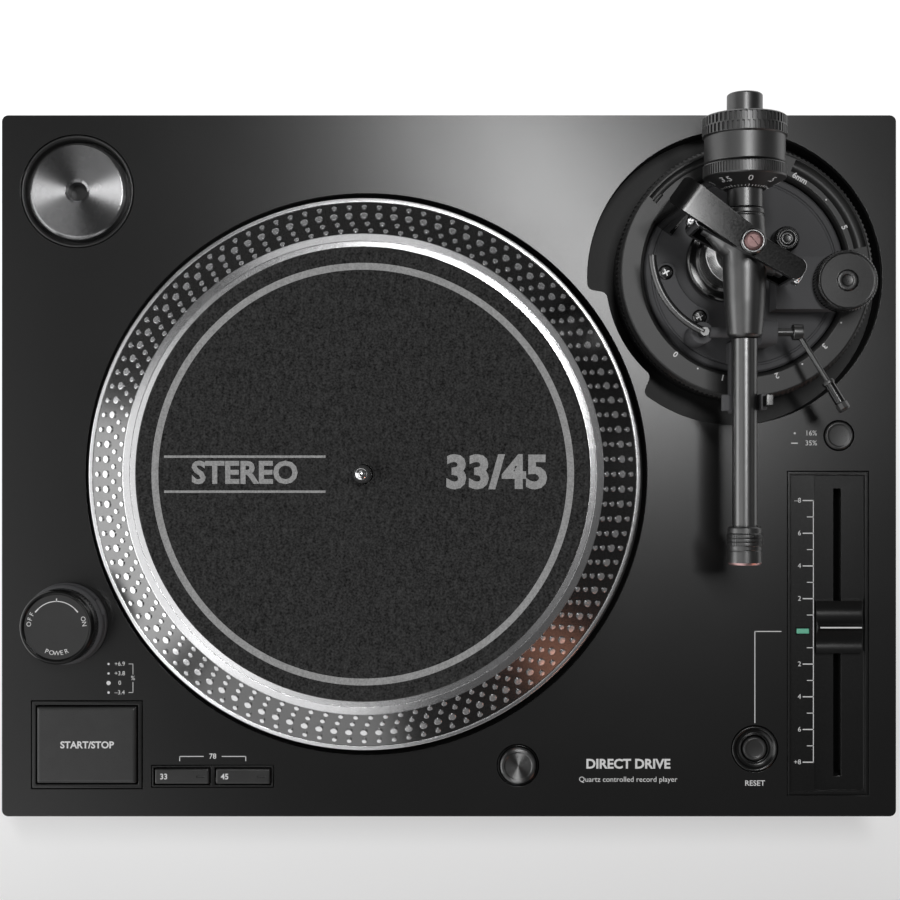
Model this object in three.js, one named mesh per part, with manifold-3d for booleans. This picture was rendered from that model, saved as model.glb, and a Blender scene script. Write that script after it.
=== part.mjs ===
// A compact direct-drive turntable with a straight tonearm, as an assembly of separate pieces.
// Millimetres, +Z up, +Y to the back. The origin is on the table, under the middle of the plinth.
import * as THREE from "three";
import { mergeVertices } from "three/addons/utils/BufferGeometryUtils.js";
import Module from "manifold-3d";

const wasm = await Module();
wasm.setup();

// ---------------------------------------------------------------- clearances
const GAP = 0.3; // between fixed neighbours
const RUN = 0.15; // radial play of a shaft in its bore, wide enough for faceted walls
const BUTTON_GAP = 0.5; // between a button and its frame
const EDGE = 0.6; // bevel of a small piece's edge

// ---------------------------------------------------------------- roundness of the turned pieces
const FINE = 48;
const MID = 24;
const SMALL = 16;
const ARC = 14; // half the steps of one long arc in an outline
const CORNER = 2; // half the steps of one rounded corner

// ---------------------------------------------------------------- plinth
const PLINTH = { width: 352, depth: 276, height: 42, corner: 2.5, plate: 3, wall: 3, pan: 2.5 };
const FOOT = { radius: 22, height: 12, inset: 30, lip: 2 };
const TOP = FOOT.height + PLINTH.height; // height of the deck's top face over the table
const LEFT = -PLINTH.width / 2;
const RIGHT = PLINTH.width / 2;
const FRONT = -PLINTH.depth / 2;
const BACK = PLINTH.depth / 2;

// Heights below are measured from the deck's top face, up positive.
const PAN_TOP = -PLINTH.height + PLINTH.pan;
const PLATE_UNDER = -PLINTH.plate;

// ---------------------------------------------------------------- platter, motor and mat
// From the rim inwards: a flat lip, the sloping band of strobe dots, a bevel,
// and the flat that the mat lies on.
const PLATTER = {
  x: LEFT + 143.5, y: FRONT + 134.7, radius: 106.4, lip: 1.5, band: 13.8, bevel: 2.8,
  top: 24, bandTop: 23, lipTop: 13.6, skirtFoot: -4, skirt: 4, roof: 4, hubRadius: 14, hubFoot: 6,
};
const BAND_OUTER = PLATTER.radius - PLATTER.lip;
const BAND_INNER = BAND_OUTER - PLATTER.band;
const FLAT_RADIUS = BAND_INNER - PLATTER.bevel;
const WELL = { clearance: 4.2, wall: 1.5, depth: 14, floor: 2.5 };
const WELL_RADIUS = PLATTER.radius + WELL.clearance;
const SPINDLE = { radius: 3.56, tip: 39, shoulder: 33, foot: -25.5 };
const MAT = { margin: 2.3, thickness: 2 };
const BEARING = { radius: 9, flange: 24, flangeThick: 3.5, bottom: -28.5, top: 2 };
const MOTOR = { statorOuter: 40, statorHeight: 14, poles: 12, poleDepth: 9, airGap: 1.6, magnet: 4.5 };

// ---------------------------------------------------------------- 45 rpm adapter
const ADAPTER = {
  x: LEFT + 29.7, y: BACK - 29.9, radius: 19.05, hole: SPINDLE.radius + 0.09, top: 0.5, thickness: 7,
};
const CUP = { inner: ADAPTER.radius + 1.55, rim: 1.8, bevel: 1.2, floor: 2 };
const CUP_HOLE = CUP.inner + CUP.rim;

// ---------------------------------------------------------------- controls on the left
const POWER = {
  x: LEFT + 25.8, y: FRONT + 76.1, housing: 16, housingTop: 8.5, knob: 14.4, knobTop: 17.5, neck: 10, stem: 3,
};
const START = { x: LEFT + 33.5, y: FRONT + 28.2, width: 39, depth: 30, rim: 2.5, top: 1.2, body: 5, well: 7 };
const SPEED = {
  x: LEFT + 83, y: FRONT + 15.8, width: 21.3, depth: 5.9, pitch: 24, rim: 1.55, top: 0.8, body: 4, well: 6,
};
const TARGET = { x: LEFT + 203.2, y: FRONT + 20.1, radius: 7, sleeve: 0.9, top: 2, length: 27.7 };

// ---------------------------------------------------------------- controls on the right
const PITCH = {
  x: RIGHT - 26.8, y: FRONT + 72.1, width: 32.2, length: 127.8, border: 1.3, thick: 5, sunk: 2, scale: 9.3,
  slotX: RIGHT - 22.7, slotY: FRONT + 72.3, slotWidth: 2.9, slotLength: 113.4,
};
const FADER = {
  width: 17.9, length: 20.6, offset: 2.4, ridge: 4.4, edge: 2.2, dip: 0.9, stem: 2.1, stemLength: 6,
  trackWidth: 16, trackDepth: 12, trackEnd: 4,
};
const LED = { x: RIGHT - 36.6, y: FRONT + 72.9, width: 4.9, depth: 2, thick: 2.4 };
const RANGE = { x: RIGHT - 22.5, y: FRONT + 149.9, radius: 5.6, top: 0.8, length: 6 };
const RESET = { x: RIGHT - 55.6, y: FRONT + 26.6, ring: 9.3, radius: 4.7, top: 0.2, length: 6 };

// ---------------------------------------------------------------- tonearm pit, height ring and base
const PIT = { x: RIGHT - 63.3, y: BACK - 63.7, radius: 58.1, wall: 1.5, depth: 12, floor: 2 };
const NECK = { x: RIGHT - 60.9, y: BACK - 63.1, radius: 53, from: 185.5, to: 231, round: 3.2 };
const RING = { x: RIGHT - 61, y: BACK - 63, radius: 49.7, inner: 39.4, top: 10, chamfer: 1.2 };
const BASE = { top: 7, thickness: 15 };
const PIVOT = { x: RIGHT - 68, y: BACK - 58.6, axis: 45, gimbalTurn: -29.3 };
const PILLAR = { radius: 11.5, collar: 16, collarTop: 12, top: 32.7, bore: 2, boreDepth: 7 };
const GIMBAL = { half: 22, side: 3.6, width: 8, window: 9, bar: 3.2, pin: 1.6, pinReach: 4 };
const EAR = { radius: 3.6, reach: 16.6, bore: 3.5 };
const BRACKET = { bearing: 144, inner: 24.5, outer: 33, width: 10, thick: 3, nose: 4.4 };
const CAP = { radius: 4.6, thick: 1.8, pin: 1.6 };

// ---------------------------------------------------------------- the arm, along its own axis
// Distances are from the pivot, forward positive.
const ARM = {
  housingRear: -14, housingRadius: 7.4, housingFront: 33, nose: 0.8, tube: 4.5, tubeWall: 0.8,
};
const NOSE_RADIUS = ARM.tube + ARM.nose;
const COLLAR = { start: 101.8, length: 14, wall: 1.85, plug: ARM.tube - 0.2, plugShort: 1 };
const COLLAR_BORE = COLLAR.plug + 2 * GAP;
const SHAFT = { radius: 6.5, end: -56 };
const DIAL = { front: -20.9, coneLength: 4, coneRadius: 7.3, radius: 15.2, length: 8.8 };
const WEIGHT = { length: 17.5, body: 14.65, grip: 15.4, gripLength: 7.7, bush: 9 };

// ---------------------------------------------------------------- lift, rest and side controls of the base
const LIFT = {
  radius: 32, from: 181, to: 247, rod: 1.5, height: 31.5, pin: 1.6, pinFoot: 12, post: 4.2, postTop: 27,
};
const CUE = { y: 50 - 79.4, z: 28, rod: 1.5, left: -7, right: 21, hub: 3, hubWidth: 4, lever: 1, grip: 2.4 };
const CUE_TIP = new THREE.Vector3(38.9, -59, 36); // from the pivot's foot
const REST = {
  front: -59.4, depth: 6, beamLow: 12, beamHigh: 17, beamRear: -32, foot: 8, saddleThick: 3, prong: 2,
  tubeGap: 0.8, saddleGap: 0.5, width: 6,
};
const CLIP = { over: 0.6, thick: 1.5, width: 4, lift: 0.35, hook: 1 };
const SKATE = { x: 42, y: -9.8, knob: 11.7, knobTop: 28, boxTop: 20, boxDepth: 20, boxEnd: 4, stem: 2.5 };
const LOCK = { x: 21.5, y: 7.5, radius: 4.9, top: 18, stem: 2, stemLength: 8 };

// ---------------------------------------------------------------- rear connectors
const BAY = { x: LEFT + 96, width: 120, height: 20, middle: -24, depth: 15, wall: 2 };
const JACK = { left: 16, right: 34, flange: 6, barrel: 4.1, length: 9, bore: 2.6 };
const NUT = { offset: 50, radius: 5, bore: 2.2, length: 5, stud: 1.9, studLength: 9 };
const SWITCH = { offset: 2, width: 4, height: 3.6, travel: 3, stick: 4 };
const INLET = { offset: -45, radius: 5.6, bore: 3.4, length: 8 };
const BOARD = { x: 96, y: -72, width: 66, depth: 90, thick: 1.6, lift: 5 };

// ---------------------------------------------------------------- solids
function solid(geometry) {
  const bare = geometry.clone();
  bare.deleteAttribute("normal");
  bare.deleteAttribute("uv");
  const merged = mergeVertices(bare, 1e-4);
  return new wasm.Manifold(
    new wasm.Mesh({
      numProp: 3,
      vertProperties: new Float32Array(merged.attributes.position.array),
      triVerts: new Uint32Array(merged.index.array),
    }),
  );
}

function geometryOf(manifold) {
  const mesh = manifold.getMesh();
  const geometry = new THREE.BufferGeometry();
  geometry.setAttribute("position", new THREE.BufferAttribute(new Float32Array(mesh.vertProperties), 3));
  geometry.setIndex(new THREE.BufferAttribute(new Uint32Array(mesh.triVerts), 1));
  geometry.computeVertexNormals();
  return geometry;
}

// A block given by its middle in X and Y and by its lowest and highest Z.
function block(width, depth, low, high, x = 0, y = 0) {
  const geometry = new THREE.BoxGeometry(width, depth, high - low);
  geometry.translate(x, y, (low + high) / 2);
  return geometry;
}

// A solid of revolution about Z. The profile runs anticlockwise in the (radius, height) plane.
function turned(profile, sides = MID) {
  const points = profile.map(([radius, height]) => new THREE.Vector2(radius, height));
  const geometry = new THREE.LatheGeometry(points, sides);
  geometry.rotateX(Math.PI / 2);
  return geometry;
}

// A plain disc, or a plain ring when it has a bore.
function disc(radius, low, high, sides = MID) {
  return turned([[0, low], [radius, low], [radius, high], [0, high]], sides);
}

function ring(inner, outer, low, high, sides = MID) {
  return turned([[inner, low], [outer, low], [outer, high], [inner, high], [inner, low]], sides);
}

// A rod of even thickness between two points.
function rod(from, to, radius, sides = SMALL) {
  const along = new THREE.Vector3().subVectors(to, from);
  const geometry = new THREE.CylinderGeometry(radius, radius, along.length(), sides);
  along.normalize();
  geometry.applyQuaternion(new THREE.Quaternion().setFromUnitVectors(new THREE.Vector3(0, 1, 0), along));
  geometry.translate((from.x + to.x) / 2, (from.y + to.y) / 2, (from.z + to.z) / 2);
  return geometry;
}

function extruded(shape, low, high, curveSegments) {
  const depth = high - low;
  const geometry = new THREE.ExtrudeGeometry(shape, { depth, bevelEnabled: false, curveSegments });
  geometry.translate(0, 0, low);
  return geometry;
}

function moved(geometry, x, y, z = 0) {
  geometry.translate(x, y, z);
  return geometry;
}

function joined(...geometries) {
  return geometryOf(geometries.map(solid).reduce((whole, piece) => whole.add(piece)));
}

function cut(geometry, ...tools) {
  return geometryOf(tools.map(solid).reduce((whole, tool) => whole.subtract(tool), solid(geometry)));
}

function kept(geometry, tool) {
  return geometryOf(solid(geometry).intersect(solid(tool)));
}

// ---------------------------------------------------------------- outlines
function roundedRectangle(width, depth, corner) {
  const right = width / 2 - corner;
  const left = -right;
  const back = depth / 2 - corner;
  const front = -back;
  const path = new THREE.Shape();
  path.moveTo(left, front - corner);
  path.lineTo(right, front - corner);
  path.absarc(right, front, corner, -Math.PI / 2, 0);
  path.lineTo(right + corner, back);
  path.absarc(right, back, corner, 0, Math.PI / 2);
  path.lineTo(left, back + corner);
  path.absarc(left, back, corner, Math.PI / 2, Math.PI);
  path.lineTo(left - corner, front);
  path.absarc(left, front, corner, Math.PI, 1.5 * Math.PI);
  return path;
}

function onCircle(x, y, radius, degrees) {
  const angle = THREE.MathUtils.degToRad(degrees);
  return new THREE.Vector2(x + radius * Math.cos(angle), y + radius * Math.sin(angle));
}

// The pit is a wide circle, drawn in to a narrower one on the side of the platter, with rounded steps.
// It can be grown outwards evenly, for the wall that stands round it.
function pitOutline(grow) {
  const path = new THREE.Shape();
  const wide = PIT.radius + grow;
  const narrow = NECK.radius + grow;
  const turn = (NECK.round / PIT.radius) * (180 / Math.PI);
  const start = NECK.to;
  const end = NECK.from + 360;
  const rad = THREE.MathUtils.degToRad;
  const stepEnd = onCircle(PIT.x, PIT.y, wide, end);
  const stepEndIn = onCircle(NECK.x, NECK.y, narrow, end + turn);
  const stepStart = onCircle(PIT.x, PIT.y, wide, start);
  const stepStartOut = onCircle(PIT.x, PIT.y, wide, start + turn);
  path.absarc(PIT.x, PIT.y, wide, rad(start + turn), rad(end - turn));
  path.quadraticCurveTo(stepEnd.x, stepEnd.y, stepEndIn.x, stepEndIn.y);
  path.absarc(NECK.x, NECK.y, narrow, rad(end + turn), rad(start + 360 - turn));
  path.quadraticCurveTo(stepStart.x, stepStart.y, stepStartOut.x, stepStartOut.y);
  return path;
}

// ---------------------------------------------------------------- plinth pieces
function facePlate() {
  const plate = extruded(plinthOutline(), PLATE_UNDER, 0, CORNER);
  const low = 2 * PLATE_UNDER;
  const roundHoles = [
    [WELL_RADIUS, PLATTER, FINE],
    [CUP_HOLE, ADAPTER, MID],
    [POWER.neck + GAP, POWER, MID],
    [TARGET.radius + RUN + TARGET.sleeve + GAP, TARGET, MID],
    [RANGE.radius + BUTTON_GAP, RANGE, MID],
    [RESET.ring, RESET, MID],
  ];
  const frames = [
    [START.width + 2 * START.rim, START.depth + 2 * START.rim, START],
    [SPEED.pitch + SPEED.width + 2 * SPEED.rim, SPEED.depth + 2 * SPEED.rim, SPEED],
    [PITCH.width, PITCH.length, PITCH],
  ];
  const tools = [extruded(pitOutline(0), low, 1, ARC)];
  for (const [radius, { x, y }, sides] of roundHoles) {
    tools.push(moved(disc(radius, low, 1, sides), x, y));
  }
  for (const [width, depth, { x, y }] of frames) {
    tools.push(block(width, depth, low, 1, x, y));
  }
  return cut(plate, ...tools);
}

function bayHeights() {
  return [BAY.middle - BAY.height / 2, BAY.middle + BAY.height / 2];
}

function plinthOutline() {
  return roundedRectangle(PLINTH.width, PLINTH.depth, PLINTH.corner);
}

function chassis() {
  const low = PAN_TOP + GAP;
  const high = PLATE_UNDER - GAP;
  const inside = block(PLINTH.width - 2 * PLINTH.wall, PLINTH.depth - 2 * PLINTH.wall, low - 1, high + 1);
  const [bayLow, bayHigh] = bayHeights();
  const reach = BAY.wall + GAP;
  const window = block(
    BAY.width + 2 * reach, 3 * PLINTH.wall, bayLow - reach, bayHigh + reach, BAY.x, BACK);
  return cut(extruded(plinthOutline(), low, high, CORNER), inside, window);
}

function bottomPan() {
  return extruded(plinthOutline(), -PLINTH.height, PAN_TOP, CORNER);
}

function foot() {
  const narrow = FOOT.radius - FOOT.lip;
  const top = FOOT.height - GAP;
  return turned([[0, 0], [narrow - 1, 0], [narrow, 1], [narrow, top / 2], [FOOT.radius, top / 2],
    [FOOT.radius, top], [0, top]], SMALL);
}

function controlBoard() {
  const low = PAN_TOP + BOARD.lift;
  const top = low + BOARD.thick;
  const pieces = [block(BOARD.width, BOARD.depth, low, top)];
  const chips = [[-14, 22, 16, 16, 2], [12, 20, 10, 12, 2], [-18, -8, 12, 20, 3], [8, -12, 18, 14, 6]];
  for (const [x, y, width, depth, height] of chips) {
    pieces.push(block(width, depth, top - GAP, top + height, x, y));
  }
  for (const x of [-22, 0, 22]) {
    pieces.push(moved(disc(4, top - GAP, top + 11, 16), x, -34));
  }
  for (const x of [-1, 1]) {
    for (const y of [-1, 1]) {
      const standX = x * (BOARD.width / 2 - 4);
      const standY = y * (BOARD.depth / 2 - 4);
      pieces.push(moved(disc(2.5, PAN_TOP + GAP, low + GAP, 12), standX, standY));
    }
  }
  return joined(...pieces);
}

// ---------------------------------------------------------------- rear connectors
// The bay is a tray open to the back. Its pieces are modelled on its own floor, with +Y out of the tray.
function rearBay() {
  const [low, high] = bayHeights();
  const wall = BAY.wall;
  const length = BAY.depth + wall;
  const shell = block(BAY.width + 2 * wall, length, low - wall, high + wall, 0, BAY.depth / 2 - wall / 2);
  const hollow = block(BAY.width, length, low, high, 0, length / 2);
  const start = new THREE.Vector3(NUT.offset, -GAP, BAY.middle);
  const end = new THREE.Vector3(NUT.offset, NUT.studLength, BAY.middle);
  return joined(cut(shell, hollow, switchSlot()), rod(start, end, NUT.stud));
}

function switchSlot() {
  const half = SWITCH.height / 2 + GAP;
  const width = SWITCH.width + SWITCH.travel + 2 * GAP;
  return block(width, BAY.wall, BAY.middle - half, BAY.middle + half, SWITCH.offset + SWITCH.travel / 2, 0);
}

function facingBack(geometry) {
  geometry.rotateX(-Math.PI / 2);
  return geometry;
}

function phonoJack() {
  return facingBack(turned([[0, GAP], [JACK.flange, GAP], [JACK.flange, 2], [JACK.barrel, 2],
    [JACK.barrel, JACK.length], [JACK.bore, JACK.length], [JACK.bore, 3], [0, 3]], SMALL));
}

function powerInlet() {
  return facingBack(turned([[0, GAP], [INLET.radius, GAP], [INLET.radius, INLET.length],
    [INLET.bore, INLET.length], [INLET.bore, 2], [1, 2], [1, INLET.length - 1.5],
    [0, INLET.length - 1]], SMALL));
}

function groundNut() {
  return facingBack(ring(NUT.bore, NUT.radius, 1, 1 + NUT.length, SMALL));
}

function lineSwitch() {
  const half = SWITCH.height / 2;
  const depth = SWITCH.stick + BAY.wall / 2 - GAP;
  const y = SWITCH.stick - depth / 2;
  return block(SWITCH.width, depth, BAY.middle - half, BAY.middle + half, SWITCH.offset, y);
}

// ---------------------------------------------------------------- platter and motor
function platterWell() {
  const outer = WELL_RADIUS + WELL.wall;
  const bore = BEARING.radius + GAP;
  const low = -WELL.depth - WELL.floor;
  return turned([[bore, low], [outer, low], [outer, PLATE_UNDER - GAP], [WELL_RADIUS, PLATE_UNDER - GAP],
    [WELL_RADIUS, -WELL.depth], [bore, -WELL.depth], [bore, low]], FINE);
}

function platter() {
  const under = PLATTER.top - PLATTER.roof;
  const bore = SPINDLE.radius + GAP;
  const inside = PLATTER.radius - PLATTER.skirt;
  return turned([[bore, PLATTER.hubFoot], [PLATTER.hubRadius, PLATTER.hubFoot], [PLATTER.hubRadius, under],
    [BAND_INNER - 1, under], [inside, PLATTER.lipTop - PLATTER.roof], [inside, PLATTER.skirtFoot],
    [PLATTER.radius, PLATTER.skirtFoot], [PLATTER.radius, PLATTER.lipTop - 0.6],
    [PLATTER.radius - 0.5, PLATTER.lipTop], [BAND_OUTER, PLATTER.lipTop],
    [BAND_INNER, PLATTER.bandTop], [FLAT_RADIUS, PLATTER.top], [bore, PLATTER.top],
    [bore, PLATTER.hubFoot]], FINE);
}

function rotorMagnet() {
  const inner = MOTOR.statorOuter + MOTOR.airGap;
  return ring(inner, inner + MOTOR.magnet, -WELL.depth + 6, PLATTER.top - PLATTER.roof - GAP, MID);
}

function motorStator() {
  const shape = new THREE.Shape();
  const step = (2 * Math.PI) / MOTOR.poles;
  const root = MOTOR.statorOuter - MOTOR.poleDepth;
  for (let pole = 0; pole < MOTOR.poles; pole += 1) {
    const middle = pole * step;
    shape.absarc(0, 0, MOTOR.statorOuter, middle - 0.36 * step, middle + 0.36 * step);
    shape.absarc(0, 0, root, middle + 0.42 * step, middle + 0.58 * step);
  }
  shape.closePath();
  const low = -WELL.depth + GAP;
  const core = extruded(shape, low, -WELL.depth + MOTOR.statorHeight, CORNER);
  return cut(core, disc(BEARING.flange + 2 * GAP, low - 1, 1));
}

function bearingHousing() {
  const flangeLow = -WELL.depth + GAP;
  const flangeTop = flangeLow + BEARING.flangeThick;
  const bore = SPINDLE.radius + RUN;
  return turned([[0, BEARING.bottom], [BEARING.radius, BEARING.bottom], [BEARING.radius, flangeLow],
    [BEARING.flange, flangeLow], [BEARING.flange, flangeTop], [BEARING.radius, flangeTop],
    [BEARING.radius, BEARING.top], [bore, BEARING.top], [bore, SPINDLE.foot - 0.5],
    [0, SPINDLE.foot - 0.5]], MID);
}

function spindle() {
  const r = SPINDLE.radius;
  return turned([[0, SPINDLE.foot], [r, SPINDLE.foot], [r, SPINDLE.shoulder],
    [0.86 * r, SPINDLE.shoulder + 3.2], [0.5 * r, SPINDLE.tip - 0.6], [0, SPINDLE.tip]], SMALL);
}

function slipmat() {
  const low = PLATTER.top + GAP;
  return ring(SPINDLE.radius + GAP, FLAT_RADIUS - MAT.margin, low, low + MAT.thickness - GAP, FINE);
}

// ---------------------------------------------------------------- adapter and its cup
function adapterCup() {
  const outer = CUP_HOLE - GAP;
  const floor = ADAPTER.top - ADAPTER.thickness - GAP;
  return turned([[0, floor - CUP.floor], [outer, floor - CUP.floor], [outer, 0], [CUP.inner + CUP.bevel, 0],
    [CUP.inner, -CUP.bevel], [CUP.inner, floor], [0, floor]], MID);
}

function adapter() {
  const low = ADAPTER.top - ADAPTER.thickness;
  return turned([[ADAPTER.hole, low], [ADAPTER.radius, low], [ADAPTER.radius, ADAPTER.top - 0.6],
    [ADAPTER.radius - 0.6, ADAPTER.top], [ADAPTER.hole + 0.4, ADAPTER.top], [ADAPTER.hole, ADAPTER.top - 0.4],
    [ADAPTER.hole, low]], MID);
}

// ---------------------------------------------------------------- power knob, buttons and lights
function strobeHousing() {
  const bore = POWER.stem + RUN;
  const foot = PLATE_UNDER - 4;
  return turned([[bore, foot], [POWER.neck, foot], [POWER.neck, GAP], [POWER.housing, GAP],
    [POWER.housing, POWER.housingTop - 0.8], [POWER.housing - 0.8, POWER.housingTop],
    [bore, POWER.housingTop], [bore, foot]], MID);
}

function powerKnob() {
  const low = POWER.housingTop + GAP;
  return turned([[0, PLATE_UNDER], [POWER.stem, PLATE_UNDER], [POWER.stem, low], [POWER.knob, low],
    [POWER.knob, POWER.knobTop - 1], [POWER.knob - 1, POWER.knobTop], [0, POWER.knobTop]], MID);
}

// A frame that hangs in a cut-out and holds buttons set in a row along X.
function buttonFrame({ width, depth, rim, well }, count, pitch) {
  const outerWidth = pitch * (count - 1) + width + 2 * rim - 2 * GAP;
  const outerDepth = depth + 2 * rim - 2 * GAP;
  const tools = [];
  for (let place = 0; place < count; place += 1) {
    const x = pitch * (place - (count - 1) / 2);
    tools.push(block(width + 2 * BUTTON_GAP, depth + 2 * BUTTON_GAP, -well, 1, x, 0));
  }
  return cut(block(outerWidth, outerDepth, -well - 1.5, 0), ...tools);
}

function button({ width, depth, top, body }) {
  const shape = roundedRectangle(width - 2 * EDGE, depth - 2 * EDGE, GAP);
  const geometry = new THREE.ExtrudeGeometry(shape, {
    depth: body - 2 * EDGE, bevelThickness: EDGE, bevelSize: EDGE, bevelSegments: 1,
    curveSegments: 2,
  });
  return moved(geometry, 0, 0, top - body + EDGE);
}

function targetSleeve() {
  const bore = TARGET.radius + RUN;
  return ring(bore, bore + TARGET.sleeve, TARGET.top - TARGET.length - GAP, 0, MID);
}

function targetLight() {
  const r = TARGET.radius;
  return turned([[0, TARGET.top - TARGET.length], [r, TARGET.top - TARGET.length], [r, TARGET.top - 0.7],
    [r - 0.7, TARGET.top], [0, TARGET.top]], MID);
}

function roundButton({ radius, top, length }) {
  return turned([[0, top - length], [radius, top - length], [radius, top - EDGE], [radius - EDGE, top],
    [0, top]], SMALL);
}

function resetRing() {
  const inner = RESET.radius + BUTTON_GAP;
  const outer = RESET.ring - GAP;
  return turned([[inner, -4], [outer, -4], [outer, 0], [outer - 1, 0.4], [inner + 0.8, -0.6], [inner, -1.2],
    [inner, -4]], MID);
}

// ---------------------------------------------------------------- pitch control
function pitchPanel() {
  const width = PITCH.width - 2 * GAP;
  const length = PITCH.length - 2 * GAP;
  const left = -width / 2 + PITCH.border;
  const right = width / 2 - PITCH.border;
  const inside = length - 2 * PITCH.border;
  const scaleRight = left + PITCH.scale;
  const sunk = block(right - scaleRight, inside, -PITCH.sunk, 1, (right + scaleRight) / 2, 0);
  const scale = block(PITCH.scale + GAP, inside, -GAP, 1, left + PITCH.scale / 2, 0);
  const slotX = PITCH.slotX - PITCH.x;
  const slotY = PITCH.slotY - PITCH.y;
  const slot = block(PITCH.slotWidth, PITCH.slotLength, -2 * PITCH.thick, 1, slotX, slotY);
  const pocket = block(
    LED.width + 2 * GAP, LED.depth + 2 * GAP, -LED.thick - 2 * GAP, 1, LED.x - PITCH.x, LED.y - PITCH.y);
  return cut(block(width, length, -PITCH.thick, 0), sunk, scale, slot, pocket);
}

function pitchLed() {
  return block(LED.width, LED.depth, -LED.thick - GAP, -GAP + 0.1);
}

function faderTrack() {
  const top = -PITCH.thick - GAP;
  const body = block(FADER.trackWidth, PITCH.slotLength + 2 * FADER.trackEnd, top - FADER.trackDepth, top);
  return cut(body, block(PITCH.slotWidth, PITCH.slotLength, top - FADER.trackDepth + 2, top + 1));
}

// The knob's side outline, along Y: high ends, two finger dips and a ridge with the line on it.
function faderKnob() {
  const half = FADER.length / 2;
  const low = -PITCH.sunk + 0.6;
  const shape = new THREE.Shape();
  shape.moveTo(-half, low);
  shape.lineTo(half, low);
  shape.lineTo(half, FADER.edge);
  shape.quadraticCurveTo(half * 0.6, FADER.dip, half * 0.36, FADER.ridge - 0.5);
  shape.lineTo(half * 0.3, FADER.ridge);
  shape.lineTo(-half * 0.3, FADER.ridge);
  shape.lineTo(-half * 0.36, FADER.ridge - 0.5);
  shape.quadraticCurveTo(-half * 0.6, FADER.dip, -half, FADER.edge);
  const cap = extruded(shape, -FADER.width / 2, FADER.width / 2, 6);
  cap.rotateX(Math.PI / 2);
  cap.rotateZ(Math.PI / 2);
  const stemLow = -PITCH.thick - GAP - FADER.trackDepth + 4;
  return joined(cap, block(FADER.stem, FADER.stemLength, stemLow, low + GAP));
}

// ---------------------------------------------------------------- tonearm pit and height ring
function armPit() {
  const low = -PIT.depth - PIT.floor;
  const wall = extruded(pitOutline(PIT.wall), low, PLATE_UNDER - GAP, ARC);
  const hollow = extruded(pitOutline(0), -PIT.depth, 1, ARC);
  const wellTool = moved(disc(WELL_RADIUS + WELL.wall + GAP, low - 1, 1, FINE), PLATTER.x, PLATTER.y);
  return cut(wall, hollow, wellTool);
}

function heightRing() {
  const low = -PIT.depth + GAP;
  return turned([[RING.inner, low], [RING.radius, low], [RING.radius, RING.top - RING.chamfer],
    [RING.radius - RING.chamfer, RING.top], [RING.inner + 0.8, RING.top], [RING.inner, RING.top - 0.8],
    [RING.inner, low]], FINE);
}

// ---------------------------------------------------------------- arm base, about the pivot's axis
const RING_FROM_PIVOT = new THREE.Vector2(RING.x - PIVOT.x, RING.y - PIVOT.y);
const BASE_RADIUS = RING.inner - GAP - 0.1;
const OVER_RING = RING.top + 2 * GAP; // where a piece of the base may reach out over the height ring

// The room inside the height ring, for the feet of what stands on the base.
function insideRing() {
  return moved(disc(BASE_RADIUS, BASE.top, OVER_RING + 2, FINE), RING_FROM_PIVOT.x, RING_FROM_PIVOT.y);
}

function liftPoint(degrees) {
  return onCircle(0, 0, LIFT.radius, degrees);
}

function armBase() {
  const low = BASE.top - BASE.thickness;
  const plate = moved(disc(BASE_RADIUS, low, BASE.top, FINE), RING_FROM_PIVOT.x, RING_FROM_PIVOT.y);
  const post = liftPoint(LIFT.to);
  const liftPost = moved(disc(LIFT.post, BASE.top - GAP, LIFT.postTop, SMALL), post.x, post.y);
  const bearing = block(CUE.hubWidth * 2, 9, BASE.top - GAP, CUE.z + CUE.rod + 2.5, CUE.right - 9, CUE.y);
  const whole = joined(plate, liftPost, bearing);
  const liftBore = moved(disc(LIFT.pin + RUN, LIFT.pinFoot - 2, LIFT.postTop + 1, SMALL), post.x, post.y);
  const lockFloor = BASE.top - LOCK.stemLength - 1;
  const lockBore = moved(disc(LOCK.stem + RUN, lockFloor, BASE.top + 1, SMALL), LOCK.x, LOCK.y);
  const from = new THREE.Vector3(CUE.right - 20, CUE.y, CUE.z);
  const to = new THREE.Vector3(CUE.right, CUE.y, CUE.z);
  return cut(whole, liftBore, lockBore, rod(from, to, CUE.rod + RUN));
}

function pivotPillar() {
  const low = BASE.top + GAP;
  const bore = PILLAR.bore + RUN;
  const floor = PILLAR.top - PILLAR.boreDepth;
  return turned([[0, low], [PILLAR.collar, low], [PILLAR.collar, PILLAR.collarTop - 1],
    [PILLAR.collar - 1, PILLAR.collarTop], [PILLAR.radius + 1, PILLAR.collarTop],
    [PILLAR.radius, PILLAR.collarTop + 1], [PILLAR.radius, PILLAR.top - 3], [PILLAR.radius - 3, PILLAR.top],
    [bore, PILLAR.top], [bore, floor], [0, floor]], MID);
}

function antiSkateHousing() {
  const right = SKATE.x + SKATE.boxEnd;
  const left = PILLAR.collar + 2 * GAP;
  const middle = (left + right) / 2;
  const clear = OVER_RING;
  const upper = block(right - left, SKATE.boxDepth, clear, SKATE.boxTop, middle, SKATE.y);
  const foot = block(right - left, SKATE.boxDepth, BASE.top + GAP, clear + 1, middle, SKATE.y);
  const lower = kept(foot, insideRing());
  const bore = moved(disc(SKATE.stem + RUN, clear + 2, SKATE.boxTop + 1, SMALL), SKATE.x, SKATE.y);
  return cut(joined(upper, lower), bore);
}

function antiSkateKnob() {
  const low = SKATE.boxTop + GAP;
  const r = SKATE.knob;
  const foot = OVER_RING + 3;
  return turned([[0, foot], [SKATE.stem, foot], [SKATE.stem, low], [r, low],
    [r, SKATE.knobTop - 1], [r - 1, SKATE.knobTop], [0, SKATE.knobTop]], MID);
}

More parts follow.
